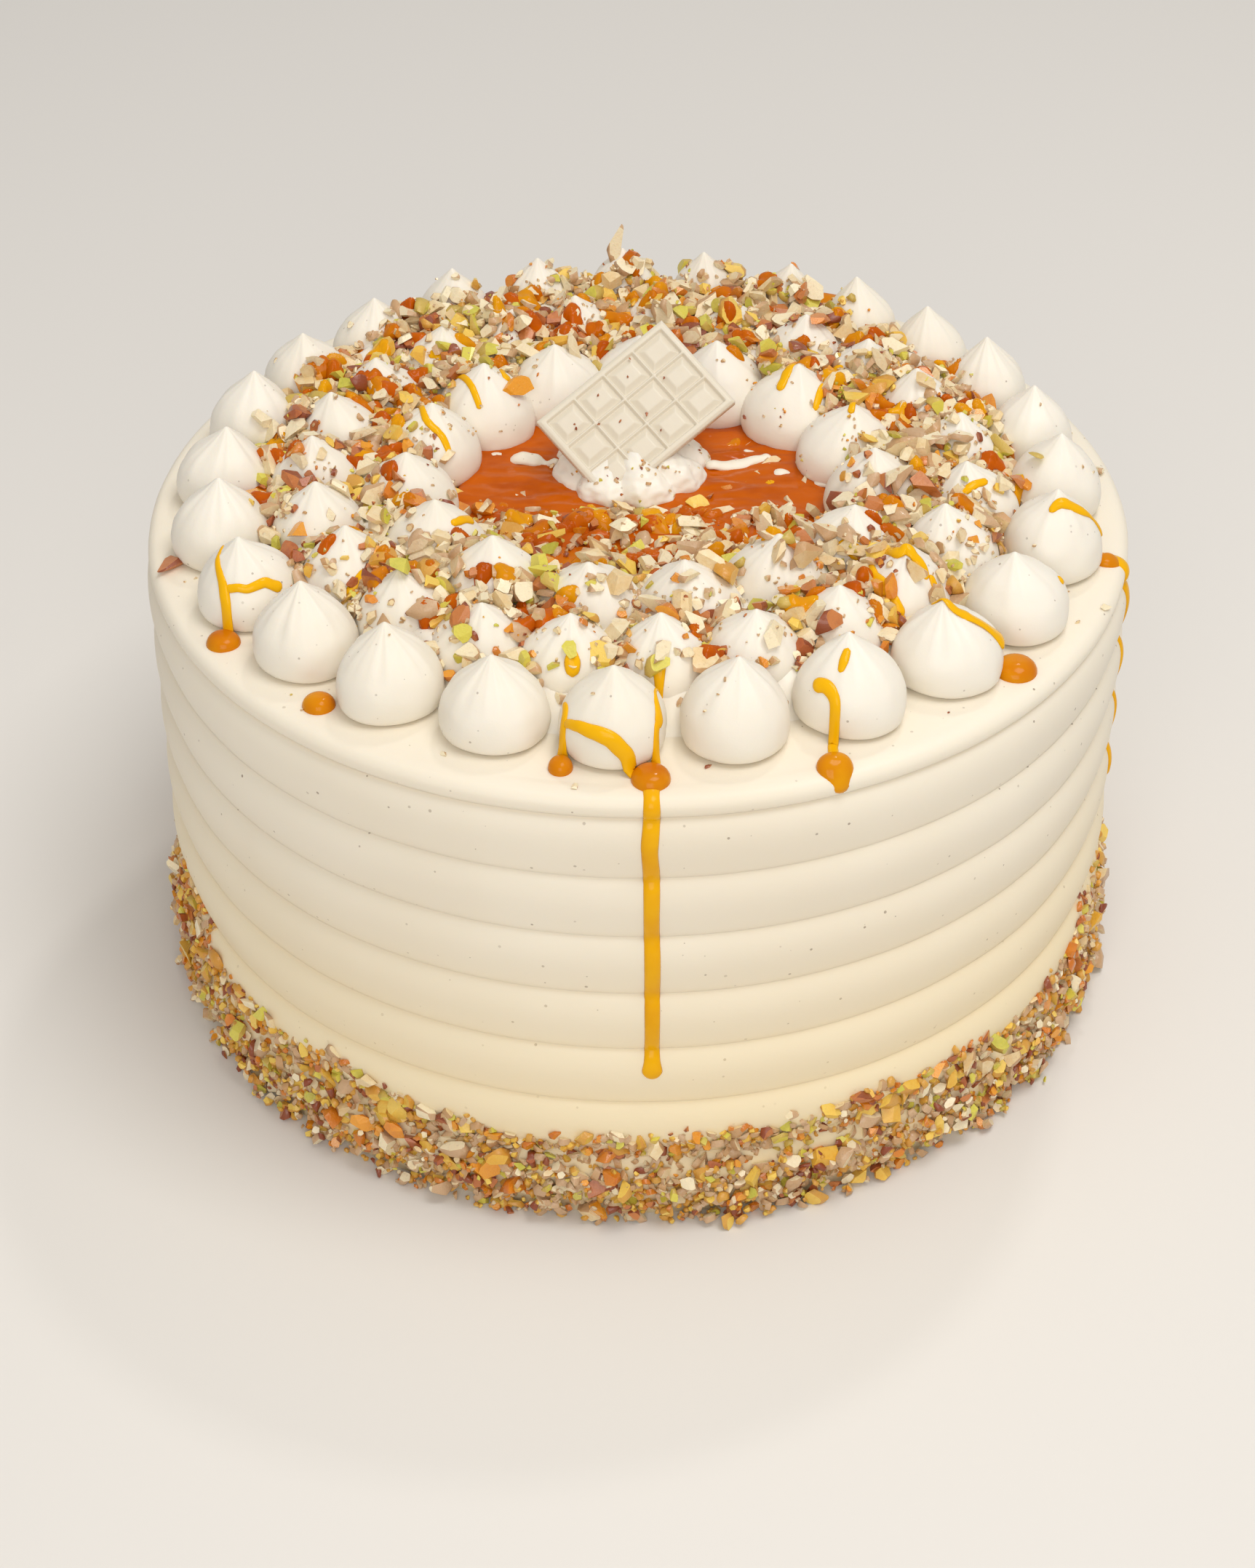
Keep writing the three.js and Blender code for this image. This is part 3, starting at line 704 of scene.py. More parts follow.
def plaqueFace(x, y):
    # height of the moulded face: cells between thin ridges, each with a raised middle that slopes down
    s = plaque
    fromEdge = np.minimum(s["wide"] / 2 - np.abs(x), s["tall"] / 2 - np.abs(y))
    pitchX = (s["wide"] - 2 * s["rim"] + s["ridge"]) / s["columns"]
    pitchY = (s["tall"] - 2 * s["rim"] + s["ridge"]) / s["rows"]
    u = np.abs((x / pitchX + s["columns"] / 2) % 1 - 0.5) * pitchX
    v = np.abs((y / pitchY + s["rows"] / 2) % 1 - 0.5) * pitchY
    inCell = np.minimum((pitchX - s["ridge"]) / 2 - u, (pitchY - s["ridge"]) / 2 - v)
    wall = smooth(-0.1, s["foot"], inCell)
    tile = np.clip((inCell - s["foot"]) / s["slope"], 0, 1)
    field = -s["sunk"] * wall * (1 - tile)
    inside = fromEdge > s["rim"] - 0.15
    rounded = s["edge"] * (1 - smooth(0, s["edge"] * 2, fromEdge))
    return field * inside - rounded


def plaqueTurn():
    # from the plaque's own frame, face towards +Z, to its lean in the rosette
    s = plaque
    lean = Matrix.Rotation(math.radians(90 - s["lean"]), 3, "X")
    return lean @ Matrix.Rotation(math.radians(s["roll"]), 3, "Z")


def makePlaque():
    s = plaque
    columns = int(s["wide"] / s["step"]) + 1
    rows = int(s["tall"] / s["step"]) + 1
    x, y = np.meshgrid(np.linspace(-s["wide"] / 2, s["wide"] / 2, columns),
                       np.linspace(-s["tall"] / 2, s["tall"] / 2, rows))
    front = np.stack([x, y, s["thick"] + plaqueFace(x, y)], -1).reshape(-1, 3)
    back = np.stack([x, y, np.zeros_like(x)], -1).reshape(-1, 3)
    faces = []
    half = len(front)
    for j in range(rows - 1):
        for i in range(columns - 1):
            a = j * columns + i
            faces.append((a, a + 1, a + columns + 1, a + columns))
            faces.append((half + a, half + a + columns, half + a + columns + 1, half + a + 1))
    border = [*range(columns)]
    border += [j * columns + columns - 1 for j in range(1, rows)]
    border += [(rows - 1) * columns + i for i in range(columns - 2, -1, -1)]
    border += [j * columns for j in range(rows - 2, 0, -1)]
    for a, b in zip(border, border[1:] + border[:1]):
        faces.append((b, a, half + a, half + b))
    points = np.vstack([front, back]) @ np.array(plaqueTurn()).T + (s["x"], s["y"], s["z"])
    points[:, 2] = np.maximum(points[:, 2], drum["top"] - 1.0)
    piece = meshFrom("chocolatePlaque", points, faces, chocolateMaterial)
    finishPiece(piece, ["plaque"])


makePlaque()
print("rosette and plaque made")


# The height of everything on the top, kept as a map, so that what lies on it can be laid on it

topMap = {"half": 108.0, "step": 0.5}
mapAxis = np.arange(-topMap["half"], topMap["half"] + 0.01, topMap["step"])
mapX, mapY = np.meshgrid(mapAxis, mapAxis)


def makeSkinTree(materials):
    # a search tree over the finished pieces of some materials, in mm
    points, faces = [], []
    for obj in scene.objects:
        if obj.type == "MESH" and obj.data.materials[0] in materials:
            start = len(points)
            points += [vertex.co / mm for vertex in obj.data.vertices]
            faces += [[start + i for i in face.vertices] for face in obj.data.polygons]
    return BVHTree.FromPolygons(points, faces)


creamTree = makeSkinTree((frostingMaterial, pipedMaterial))


def bareTop():
    height = np.zeros_like(mapX)
    down = Vector((0, 0, -1))
    for i, y in enumerate(mapAxis):
        for j, x in enumerate(mapAxis):
            if x * x + y * y < 106 ** 2:
                hit = creamTree.ray_cast(Vector((x, y, 300)), down)[0]
                height[i, j] = hit.z if hit else 0.0
    return height


heightMap = bareTop()


def mapIndex(value):
    return int(np.clip(round((value + topMap["half"]) / topMap["step"]), 1, len(mapAxis) - 2))


def heightAt(x, y, field=None):
    field = heightMap if field is None else field
    return float(field[mapIndex(y), mapIndex(x)])


def slopeAt(x, y, reach):
    i, j = mapIndex(y), mapIndex(x)
    a, b = max(j - reach, 0), min(j + reach, len(mapAxis) - 1)
    c, d = max(i - reach, 0), min(i + reach, len(mapAxis) - 1)
    span = topMap["step"]
    slopeX = float(heightMap[i, b] - heightMap[i, a]) / ((b - a) * span)
    slopeY = float(heightMap[d, j] - heightMap[c, j]) / ((d - c) * span)
    return slopeX, slopeY


# Caramel pool

pool = {"x": -1.0, "y": 8.0, "radius": 42.0, "wave": 3.0, "thick": 1.7, "edge": 0.06, "around": 240,
        "rings": 60, "depth": 0.85}


def makePool():
    # a glossy sheet with a rounded edge, rippled where it ran round the rosette
    s = pool
    turn = np.linspace(0, 2 * np.pi, s["around"], endpoint=False)
    swell = 1 + s["wave"] / s["radius"] * (np.cos(3 * turn + 0.6) + 0.7 * np.cos(5 * turn))
    inside = 1 - s["edge"]
    edge = inside + s["edge"] * np.sin(np.linspace(0.2, 1, 8) * np.pi / 2)
    shares = np.concatenate([np.linspace(0.05, inside, s["rings"] - len(edge)), edge])
    top = np.empty((len(shares), s["around"], 3))
    for i, share in enumerate(shares):
        rounded = math.sqrt(max(0.0, 1 - max(0.0, (share - inside) / s["edge"]) ** 2))
        for j in range(s["around"]):
            x = s["x"] + s["radius"] * swell[j] * share * math.cos(turn[j])
            y = s["y"] + s["radius"] * swell[j] * share * math.sin(turn[j])
            ripple = 0.9 * noise.noise(Vector((x * 0.08, y * 0.17, 3.0)))
            ripple += 0.6 * noise.noise(Vector((x * 0.16, y * 0.42, 9.0)))
            ripple += 0.22 * noise.noise(Vector((x * 0.5, y * 0.9, 15.0)))
            top[i, j] = (x, y, drum["top"] + 0.1 + (s["thick"] + 0.7 * ripple) * rounded)
    bottom = top.copy()
    bottom[..., 2] = drum["top"] - 0.2
    points, faces = closedTurning(np.concatenate([bottom, top[::-1]]))
    obj = meshFrom("caramelPool", points, faces, caramelMaterial)
    depth = obj.data.attributes.new("depth", "FLOAT", "POINT")
    depth.data.foreach_set("value", np.full(len(points), s["depth"], np.float32))
    finishPiece(obj, ["caramel_pool"])


makePool()
print("caramel pool made")


# Swept beads and joined pieces, for what runs over the top

runForm = {"step": 0.45, "section": 12, "flatness": 0.28, "buried": 0.25}


def sweepRun(places, normals, widths, flatness=None):
    # a flattened bead along places, rounded off at both ends
    places, normals, widths = np.array(places), np.array(normals), np.array(widths)
    ahead = np.gradient(places, axis=0)
    ahead /= np.linalg.norm(ahead, axis=1)[:, None] + 1e-9
    side = np.cross(ahead, normals)
    side /= np.linalg.norm(side, axis=1)[:, None] + 1e-9
    over = np.cross(side, ahead)
    travelled = np.concatenate([[0], np.cumsum(np.linalg.norm(np.diff(places, axis=0), axis=1))])
    fromEnd = np.minimum(travelled, travelled[-1] - travelled)
    taper = np.sqrt(np.clip(1 - (1 - np.clip(fromEnd / (widths * 0.5), 0, 1)) ** 2, 0.02, 1))
    angle = np.linspace(0, 2 * np.pi, runForm["section"], endpoint=False)
    lift = np.where(np.sin(angle) > 0, np.sin(angle), runForm["buried"] * np.sin(angle))
    half = (widths * taper * 0.5)[:, None, None]
    thick = ((flatness or runForm["flatness"]) * widths ** 0.8 * taper)[:, None, None]
    grid = places[:, None] + side[:, None] * half * np.cos(angle)[None, :, None]
    return closedTurning(grid + over[:, None] * thick * lift[None, :, None])


def joinMeshes(name, parts, material, depths=None):
    # parts: (points, faces) pairs made one mesh, with the caramel's depth where it is given
    points = np.vstack([p for p, _ in parts])
    starts = np.cumsum([0] + [len(p) for p, _ in parts])
    faces = [tuple(int(start) + i for i in face) for (_, own), start in zip(parts, starts) for face in own]
    obj = meshFrom(name, points, faces, material)
    if depths is not None:
        values = [np.broadcast_to(np.asarray(d, np.float32), len(p)) for (p, _), d in zip(parts, depths)]
        obj.data.attributes.new("depth", "FLOAT", "POINT").data.foreach_set("value", np.concatenate(values))
    work = bmesh.new()
    work.from_mesh(obj.data)
    bmesh.ops.recalc_face_normals(work, faces=work.faces[:])
    work.to_mesh(obj.data)
    work.free()
    return obj


# Ridges of cream that stand out of the pool

ridges = {
    "high": 0.42, "seed": 9,
    "lines": [  # each a line of (x, y, width)
        [(-45, 7, 3.6), (-38, 13.5, 4.4), (-33.5, 17.8, 4.6), (-28.5, 18.6, 4.4), (-24, 16, 4.4),
         (-17, 14, 3.6)],
        [(14.5, 12.8, 3.4), (20.9, 14.1, 4.2), (25.6, 15.9, 3.8), (29, 17.5, 2.4)],
        [(28.5, 10.8, 2.8), (34.8, 10, 4.4), (41.5, 5, 4.0)],
        [(22.8, 19.2, 2.4), (29.7, 20.5, 3.2)], [(38.6, 8.2, 3.0), (45.7, 10, 3.4)],
    ],
}


def makeRidges():
    rng = np.random.default_rng(ridges["seed"])
    parts = []
    for line in ridges["lines"]:
        curve = curveThrough(line, 12 * len(line))
        offset = rng.uniform(0, 50)
        uneven = np.array([noise.noise(Vector((x * 0.28, y * 0.28, offset))) for x, y, _ in curve])
        places = np.column_stack([curve[:, :2], drum["top"] + pool["thick"] - 0.5 + 1.6 * uneven])
        widths = curve[:, 2] * (0.85 + 0.7 * uneven[::-1])
        parts.append(sweepRun(places, np.tile((0.0, 0.0, 1.0), (len(curve), 1)), widths, ridges["high"]))
    finishPiece(joinMeshes("creamRidges", parts, frostingMaterial))


makeRidges()


# Cream that spread between the dollops, a bed for the nuts

bed = {"inner": 42.0, "ease": 9.0, "outer": 85.0, "rows": 56, "around": 300, "front": 7.2, "back": 10.2,
       "uneven": 1.6, "under": 0.4}


def bedLevel(x, y):
    # how high the bed lies over the drum's top, in mm
    s = bed
    reach = math.hypot(x, y)
    back = 0.5 + 0.5 * math.sin(math.atan2(y, x))
    level = s["front"] + (s["back"] - s["front"]) * back ** 1.3
    level += s["uneven"] * noise.noise(Vector((x * 0.11, y * 0.11, 21.0)))
    level += 0.4 * s["uneven"] * noise.noise(Vector((x * 0.3, y * 0.3, 2.0)))
    outer = s["outer"] + 9 * back ** 3
    ring = smooth(s["inner"], s["inner"] + s["ease"], reach) * smooth(outer, outer - 13, reach)
    return float(level * ring - s["under"] * (1 - ring))


def makeBed():
    s = bed
    turn = np.linspace(0, 2 * np.pi, s["around"], endpoint=False)
    reaches = np.linspace(s["inner"], s["outer"] + 9, s["rows"])
    top = [[(r * math.cos(t), r * math.sin(t), drum["top"] + bedLevel(r * math.cos(t), r * math.sin(t)))
            for t in turn] for r in reaches]
    bottom = [[(r * math.cos(t), r * math.sin(t), drum["top"] - 2) for t in turn] for r in reaches[[-1, 0]]]
    rows = np.array(top + bottom)
    faces = ringFaces(len(rows), s["around"])
    last = (len(rows) - 1) * s["around"]
    for j in range(s["around"]):
        k = (j + 1) % s["around"]
        faces.append((last + j, last + k, k, j))
    part = (rows.reshape(-1, 3), faces)
    finishPiece(joinMeshes("creamBed", [part], pipedMaterial))
    ring = (np.hypot(mapX, mapY) > s["inner"]) & (np.hypot(mapX, mapY) < s["outer"] + 9)
    for i, j in np.argwhere(ring):
        level = drum["top"] + bedLevel(mapX[i, j], mapY[i, j])
        heightMap[i, j] = max(heightMap[i, j], level)


bareMap = heightMap.copy()
makeBed()
print("cream between the dollops made")


# Caramel that filled the hollows between the dollops

glaze = {
    "rings": 14, "around": 44, "depth": 0.6, "seed": 77,
    "patches": [  # x, y, half width, half depth and how deep it fills the hollow
        (-78.5, -4.5, 8.0, 6.5, 6.6), (-64, 11.5, 4, 5, 7.2), (-49.3, -26, 5.5, 5, 5.8),
        (-69, -26.4, 5.5, 5, 6.0), (-50, 38, 6.5, 5.5, 8.2), (10, 62, 5, 6, 9.2), (43.5, 72, 7, 8, 9.4),
        (28, 47, 5, 6, 8.0), (57, 25, 5, 5, 7.4), (66, 45, 7, 5, 8.4), (53, 12, 6, 4.5, 6.8),
        (76, -17, 8.5, 6.5, 6.4), (77, 14, 5, 5, 7.2), (54, -50, 6, 5, 5.6), (-30, -42, 6.5, 6, 4.4),
        (22, -46, 7, 6, 4.6), (-60, 50, 6, 6, 8.6), (-20, 66, 6, 6, 9.4), (-6, -58, 6.5, 5, 5.6),
        (-40, -60, 6, 5, 5.8), (31, -62, 5.5, 5, 5.8), (4, -43, 8, 5, 4.2), (47, -26, 6, 5, 5.6),
        (-14, -24, 9, 6, 2.6), (14, -26, 9, 6, 2.7), (-36, -14, 6, 5, 2.8),
    ],
}


patchWaves = ((2, 0.16), (3, 0.1), (5, 0.06))    # how many waves round a patch, and how deep each is


def patchOutline(turn, phase):
    outline = 1
    for (count, depth), start in zip(patchWaves, phase):
        outline = outline + depth * np.cos(count * turn + start)
    return outline


def glazePatch(x, y, wide, deep, rise, rng):
    # a sheet that stands level between the dollops, rounded where it ends; it dives under what is higher
    rings, around = glaze["rings"], glaze["around"]
    turn = np.linspace(0, 2 * np.pi, around, endpoint=False)
    phase = rng.uniform(0, 6, 3)
    outline = patchOutline(turn, phase)
    floor = drum["top"]
    rows = []
    for share in np.sin(np.linspace(1, 0.06, rings) * np.pi / 2):
        edge = math.sqrt(max(0.0, 1 - share ** 7))
        ring = []
        for j in range(around):
            px = x + wide * outline[j] * share * math.cos(turn[j])
            py = y + deep * outline[j] * share * math.sin(turn[j])
            ripple = 0.7 * noise.noise(Vector((px * 0.2, py * 0.3, 5.0)))
            ripple += 0.2 * noise.noise(Vector((px, py, 8.0)))
            ring.append((px, py, floor + (rise + ripple) * edge))
        rows.append(ring)
    top = np.array(rows)
    bottom = top[::-1].copy()
    bottom[..., 2] = floor - 0.3
    nearby = (np.abs(mapX - x) < 1.4 * wide) & (np.abs(mapY - y) < 1.4 * deep)
    level = floor + rise
    angle = np.arctan2((mapY - y) / deep, (mapX - x) / wide)
    inside = nearby & (np.hypot((mapX - x) / wide, (mapY - y) / deep) < 0.94 * patchOutline(angle, phase))
    heightMap[inside] = np.maximum(heightMap[inside], level)
    return closedTurning(np.concatenate([bottom, top]))


def makeGlaze():
    rng = np.random.default_rng(glaze["seed"])
    parts = [glazePatch(*patch, rng) for patch in glaze["patches"]]
    depths = [glaze["depth"]] * len(parts)
    finishPiece(joinMeshes("caramelGlaze", parts, caramelMaterial, depths))


makeGlaze()
print("caramel in the hollows made")


# Chopped nuts

lumpForms = {
    "fine": {"detail": 2, "cuts": 7, "near": 0.24, "far": 0.62, "stretch": (1.0, 0.74, 0.5), "count": 16},
    "coarse": {"detail": 1, "cuts": 5, "near": 0.24, "far": 0.6, "stretch": (1.0, 0.74, 0.52), "count": 14},
    "crumb": {"detail": 1, "cuts": 3, "near": 0.2, "far": 0.5, "stretch": (1.0, 0.78, 0.6), "count": 10},
}


def makeChunk(name, form, rng):
    # one chopped shard: a kernel with flat cuts close to its middle; skin is 1 where no cut reached
    work = bmesh.new()
    bmesh.ops.create_icosphere(work, subdivisions=form["detail"], radius=1.0)
    skin = work.faces.layers.float.new("skin")
    shift = Vector(rng.uniform(0, 50, 3))
    for vertex in work.verts:
        vertex.co *= 1 + 0.3 * noise.noise(vertex.co * 1.4 + shift)
    for face in work.faces:
        face[skin] = 1.0
    for _ in range(form["cuts"]):
        normal = Vector(rng.normal(size=3)).normalized()
        everything = work.verts[:] + work.edges[:] + work.faces[:]
        bmesh.ops.bisect_plane(work, geom=everything, dist=1e-4, plane_no=normal, clear_outer=True,
                               plane_co=normal * rng.uniform(form["near"], form["far"]))
        for face in bmesh.ops.holes_fill(work, edges=work.edges[:], sides=0)["faces"]:
            face[skin] = 0.0
    for face in work.faces:
        face.smooth = face[skin] > 0.5
    for edge in work.edges:
        edge.smooth = all(face.smooth for face in edge.link_faces)
    bmesh.ops.triangulate(work, faces=work.faces[:])
    bmesh.ops.recalc_face_normals(work, faces=work.faces[:])
    for axis, stretch in enumerate(form["stretch"]):
        along = [vertex.co[axis] for vertex in work.verts]
        middle, half = (min(along) + max(along)) / 2, (max(along) - min(along)) / 2
        factor = stretch * rng.uniform(0.8, 1.15) / half
        for vertex in work.verts:
            vertex.co[axis] = (vertex.co[axis] - middle) * factor
    mesh = bpy.data.meshes.new(name)
    work.to_mesh(mesh)
    work.free()
    return bpy.data.objects.new(name, mesh)


def makeChunkSet(name, form, seed):
    # the source lumps sit in a collection that isn't in the scene
    rng = np.random.default_rng(seed)
    collection = bpy.data.collections.new(name)
    for i in range(form["count"]):
        collection.objects.link(makeChunk(f"{name}{i:02d}", form, rng))
    return collection


def makeScatterTree():
    # one lump on each point, turned and sized by the point's own attributes
    hand, given, out = newGroup("scatterNuts", "GeometryNodeTree",
                                [("Geometry", "Geometry", None), ("Lumps", "Collection", None),
                                 ("Size Factor", "Float", 1.0), ("Material", "Material", None)],
                                [("Geometry", "Geometry")])
    lumps = hand.add("GeometryNodeCollectionInfo", {"Collection": given["Lumps"], "Separate Children": True,
                                                    "Reset Children": True}).outputs[0]
    pick = hand.add("GeometryNodeInputNamedAttribute", {"Name": "pick"}, data_type="INT").outputs[0]
    turn = hand.add("GeometryNodeInputNamedAttribute", {"Name": "turn"}, data_type="FLOAT_VECTOR").outputs[0]
    size = hand.add("GeometryNodeInputNamedAttribute", {"Name": "size"}, data_type="FLOAT_VECTOR").outputs[0]
    rotation = hand.add("FunctionNodeEulerToRotation", {0: turn}).outputs[0]
    scale = hand.vectorMath("SCALE", size, given["Size Factor"])
    laid = hand.add("GeometryNodeInstanceOnPoints", {
        "Points": given["Geometry"], "Instance": lumps, "Pick Instance": True, "Instance Index": pick,
        "Rotation": rotation, "Scale": scale}).outputs[0]
    whole = hand.add("GeometryNodeRealizeInstances", {"Geometry": laid}).outputs[0]
    done = hand.add("GeometryNodeSetMaterial", {"Geometry": whole, "Material": given["Material"]}).outputs[0]
    hand.feed(out.inputs["Geometry"], done)
    return hand.tree


scatterTree = makeScatterTree()


def scatterPiece(name, lumps, laid, material):
    # laid: rows of place (mm), turn (euler), size (mm), tone and pick
    mesh = bpy.data.meshes.new(name)
    mesh.from_pydata([tuple(item["place"] * mm) for item in laid], [], [])
    for label, kind, field, values in (
            ("turn", "FLOAT_VECTOR", "vector", [c for item in laid for c in item["turn"]]),
            ("size", "FLOAT_VECTOR", "vector", [c * mm for item in laid for c in item["size"]]),
            ("tone", "FLOAT", "value", [item["tone"] for item in laid]),
            ("pick", "INT", "value", [item["pick"] for item in laid])):
        mesh.attributes.new(label, kind, "POINT").data.foreach_set(field, values)
    obj = bpy.data.objects.new(name, mesh)
    scene.collection.objects.link(obj)
    addModifierTree(obj, scatterTree, {"Lumps": lumps, "Size Factor": 1.0, "Material": material})
    bakeDown(obj)
    print(name, len(laid), "pieces,", sum(len(p.vertices) - 2 for p in obj.data.polygons), "triangles")
    finishPiece(obj)


def leaningTurn(normal, rng, wobble):
    # an euler that lays a lump flat on a skin, spun and tipped at random
    up = Vector(normal).normalized()
    spin = Quaternion(up, rng.uniform(0, 2 * math.pi))
    tip = Quaternion(Vector(rng.normal(size=3)).normalized(), rng.normal() * wobble)
    return tuple((tip @ spin @ Vector((0, 0, 1)).rotation_difference(up)).to_euler())


def raiseMap(x, y, low, size, thick):
    # puts a lump's dome on the height map
    reach = int(math.ceil(size / topMap["step"]))
    i, j = mapIndex(y), mapIndex(x)
    rows = slice(max(i - reach, 0), i + reach + 1)
    columns = slice(max(j - reach, 0), j + reach + 1)
    away = ((mapX[rows, columns] - x) ** 2 + (mapY[rows, columns] - y) ** 2) / size ** 2
    dome = low + thick * np.sqrt(np.clip(1 - away, 0, 1))
    heightMap[rows, columns] = np.where(away < 0.85, np.maximum(heightMap[rows, columns], dome),
                                        heightMap[rows, columns])


# how a lump rolls and comes to lie
nutRest = {"thin": 0.45, "sink": 0.25, "wobble": 0.55, "steep": 0.3, "stride": 0.8}


def dropNut(x, y, size, rng, slide):
    # lets one lump roll down a little, then lays it on whatever is there and raises the map under it
    s = nutRest
    for _ in range(slide):
        slopeX, slopeY = slopeAt(x, y, 3)
        steep = math.hypot(slopeX, slopeY)
        if steep < s["steep"]:
            break
        x -= slopeX / steep * s["stride"]
        y -= slopeY / steep * s["stride"]
    slopeX, slopeY = slopeAt(x, y, 2)
    normal = Vector((-slopeX, -slopeY, 1)).normalized()
    thick = size * s["thin"]
    place = np.array((x, y, heightAt(x, y))) + np.array(normal) * thick * (1 - s["sink"])
    raiseMap(x, y, place[2], size * 0.8, thick * 0.6)
    return {"place": place, "turn": leaningTurn(normal, rng, s["wobble"]), "size": (size, size, size),
            "tone": rng.uniform(0, 1)}


topNuts = {"large": 1500, "small": 3800, "crumbs": 2700, "seed": 12, "plaqueCrumbs": 12, "clearPeak": 5.6,
           "sizes": {"large": (1.7, 3.5), "small": (0.9, 1.7), "crumbs": (0.3, 0.65)},
           "slide": {"large": 7, "small": 6, "crumbs": 2},
           "shares": {"paleNut": 0.66, "brownNut": 0.09, "caramelNut": 0.08, "goldenNut": 0.07,
                      "greenNut": 0.10}}

# where the nuts lie, mostly as distances from the middle of the top
heaps = {"inner": (41, 48), "outer": 76, "oval": 3, "behind": 13, "fade": 4, "rosette": (17.0, 19),
         "front": (0, -8), "sides": 0.12}


def nutDensity(x, y):
    # how thick the nuts lie on the top, from 0 to 1
    s = heaps
    reach, turn = math.hypot(x, y), math.atan2(y, x)
    back = 0.5 + 0.5 * math.sin(turn)
    outside = s["outer"] + s["oval"] * math.cos(2 * turn) + s["behind"] * back ** 3
    ring = float(smooth(*s["inner"], reach) * (1 - smooth(outside - s["fade"], outside + s["fade"], reach)))
    patchy = 0.45 + 0.55 * float(smooth(-0.3, 0.15, noise.noise(Vector((x * 0.075, y * 0.075, 4.0)))))
    fromRosette = math.hypot(x - rosette["x"], y - rosette["y"])
    front = 0.95 * float(smooth(*s["rosette"], fromRosette) * smooth(*s["front"], y) * smooth(56, 48, reach))
    sides = s["sides"] * float(smooth(18, 21, fromRosette) * smooth(54, 44, reach))
    inGlaze = min([1.0] + [math.hypot((x - p[0]) / p[2], (y - p[1]) / p[3]) for p in glaze["patches"]])
    peak = heightAt(x, y, bareMap) - drum["top"] - max(bedLevel(x, y), 0)
    clear = 1 - 0.85 * float(smooth(topNuts["clearPeak"] - 2, topNuts["clearPeak"] + 2, peak))
    heap = max(ring * (0.75 + 0.25 * back) * patchy, front, sides)
    return heap * clear * (0.25 + 0.75 * float(smooth(0.45, 1.0, inGlaze)))


def pickKind(rng, shares):
    kinds = list(shares)
    return kinds[int(rng.choice(len(kinds), p=np.array(list(shares.values())) / sum(shares.values())))]


crumbShares = {"amongNuts": 0.6, "onDollops": 0.07, "onRosette": 0.45, "onRidges": 0.5, "onRim": 0.012}


def crumbChance(x, y, density):
    # crumbs lie thinly over the middle dollops and the rosette's front, and hardly at all further out
    s = crumbShares
    reach = math.hypot(x, y)
    fromRosette = math.hypot(x - rosette["x"], y - rosette["y"])
    toRidge = min(math.hypot(x - knot[0], y - knot[1]) for line in ridges["lines"] for knot in line)
    onDollops = s["onDollops"] * float(smooth(78, 72, reach) * smooth(17, 19, fromRosette))
    onRosette = s["onRosette"] * float(smooth(17, 15, fromRosette) * smooth(9, 5, y))
    onRidges = s["onRidges"] * float(smooth(4, 2.5, toRidge))
    onRim = s["onRim"] * float(smooth(101, 97, reach))
    return max(s["amongNuts"] * density, onDollops, onRosette, onRidges, onRim)


def layTopNuts():
    s = topNuts
    rng = np.random.default_rng(s["seed"])
    laid = {"large": [], "small": [], "crumbs": []}
    for group in ("small", "large", "crumbs"):
        while len(laid[group]) < s[group]:
            x, y = rng.uniform(-98, 98, 2)
            chance = nutDensity(x, y)
            if group == "crumbs":
                chance = crumbChance(x, y, chance)
            if rng.uniform() > chance:
                continue
            low, high = s["sizes"][group]
            size = low + (high - low) * rng.uniform() ** 1.6
            item = dropNut(x, y, size, rng, int(rng.integers(0, s["slide"][group])))
            item["kind"] = pickKind(rng, s["shares"])
            laid[group].append(item)
    turn = plaqueTurn()
    for _ in range(s["plaqueCrumbs"]):
        flat = Vector((rng.uniform(-15, 15), rng.uniform(-10, 10), plaque["thick"] + 0.1))
        size = rng.uniform(0.25, 0.5)
        laid["crumbs"].append({"place": np.array(turn @ flat) + (plaque["x"], plaque["y"], plaque["z"]),
                               "turn": tuple(rng.uniform(0, 6, 3)), "size": (size, size, size), "tone": 0.8,
                               "kind": "brownNut"})
    return laid


singleNuts = [  # kind, x, y, size, how far above the cream its middle lies, and its turn
    ("brownNut", -96.3, -23.5, (3.6, 3.0, 2.6), 1.2, (0.3, 0.2, 0.5)),
    ("paleNut", 99.4, 13.6, (2.2, 1.7, 1.4), 0.5, (0.2, 0.1, 2.0)),
    ("paleNut", 94.5, -38.5, (1.7, 1.3, 1.0), 0.4, (0.1, 0.3, 1.0)),
    ("paleNut", -5.2, 82.5, (1.6, 6.0, 1.2), 3.0, (1.35, 0.15, 0.1)),
    ("brownNut", 80.0, -6.0, (3.2, 2.4, 2.2), 1.4, (0.2, 0.5, 0.7)),
    ("greenNut", 82.8, -4.0, (2.0, 1.5, 1.3), 1.6, (0.4, 0.1, 2.1)),
    ("caramelNut", -69.0, -26.0, (3.4, 2.8, 2.4), 1.0, (0.2, 0.2, 0.9)),
    ("caramelNut", -26.0, 28.0, (3.8, 3.0, 3.4), 1.6, (0.1, 0.2, 0.4)),
    ("goldenNut", 12.4, -2.2, (3.4, 2.8, 2.6), 1.4, (0.5, 0.3, 0.2)),
    ("brownNut", 13.0, -92.6, (0.9, 0.7, 0.6), 0.2, (0, 0, 0.4)),
    ("paleNut", -12.0, -98.6, (1.0, 0.7, 0.5), 0.2, (0, 0.1, 1.4)),
    ("paleNut", -37.0, -88.5, (0.9, 0.7, 0.5), 0.2, (0.1, 0, 2.4)),
]


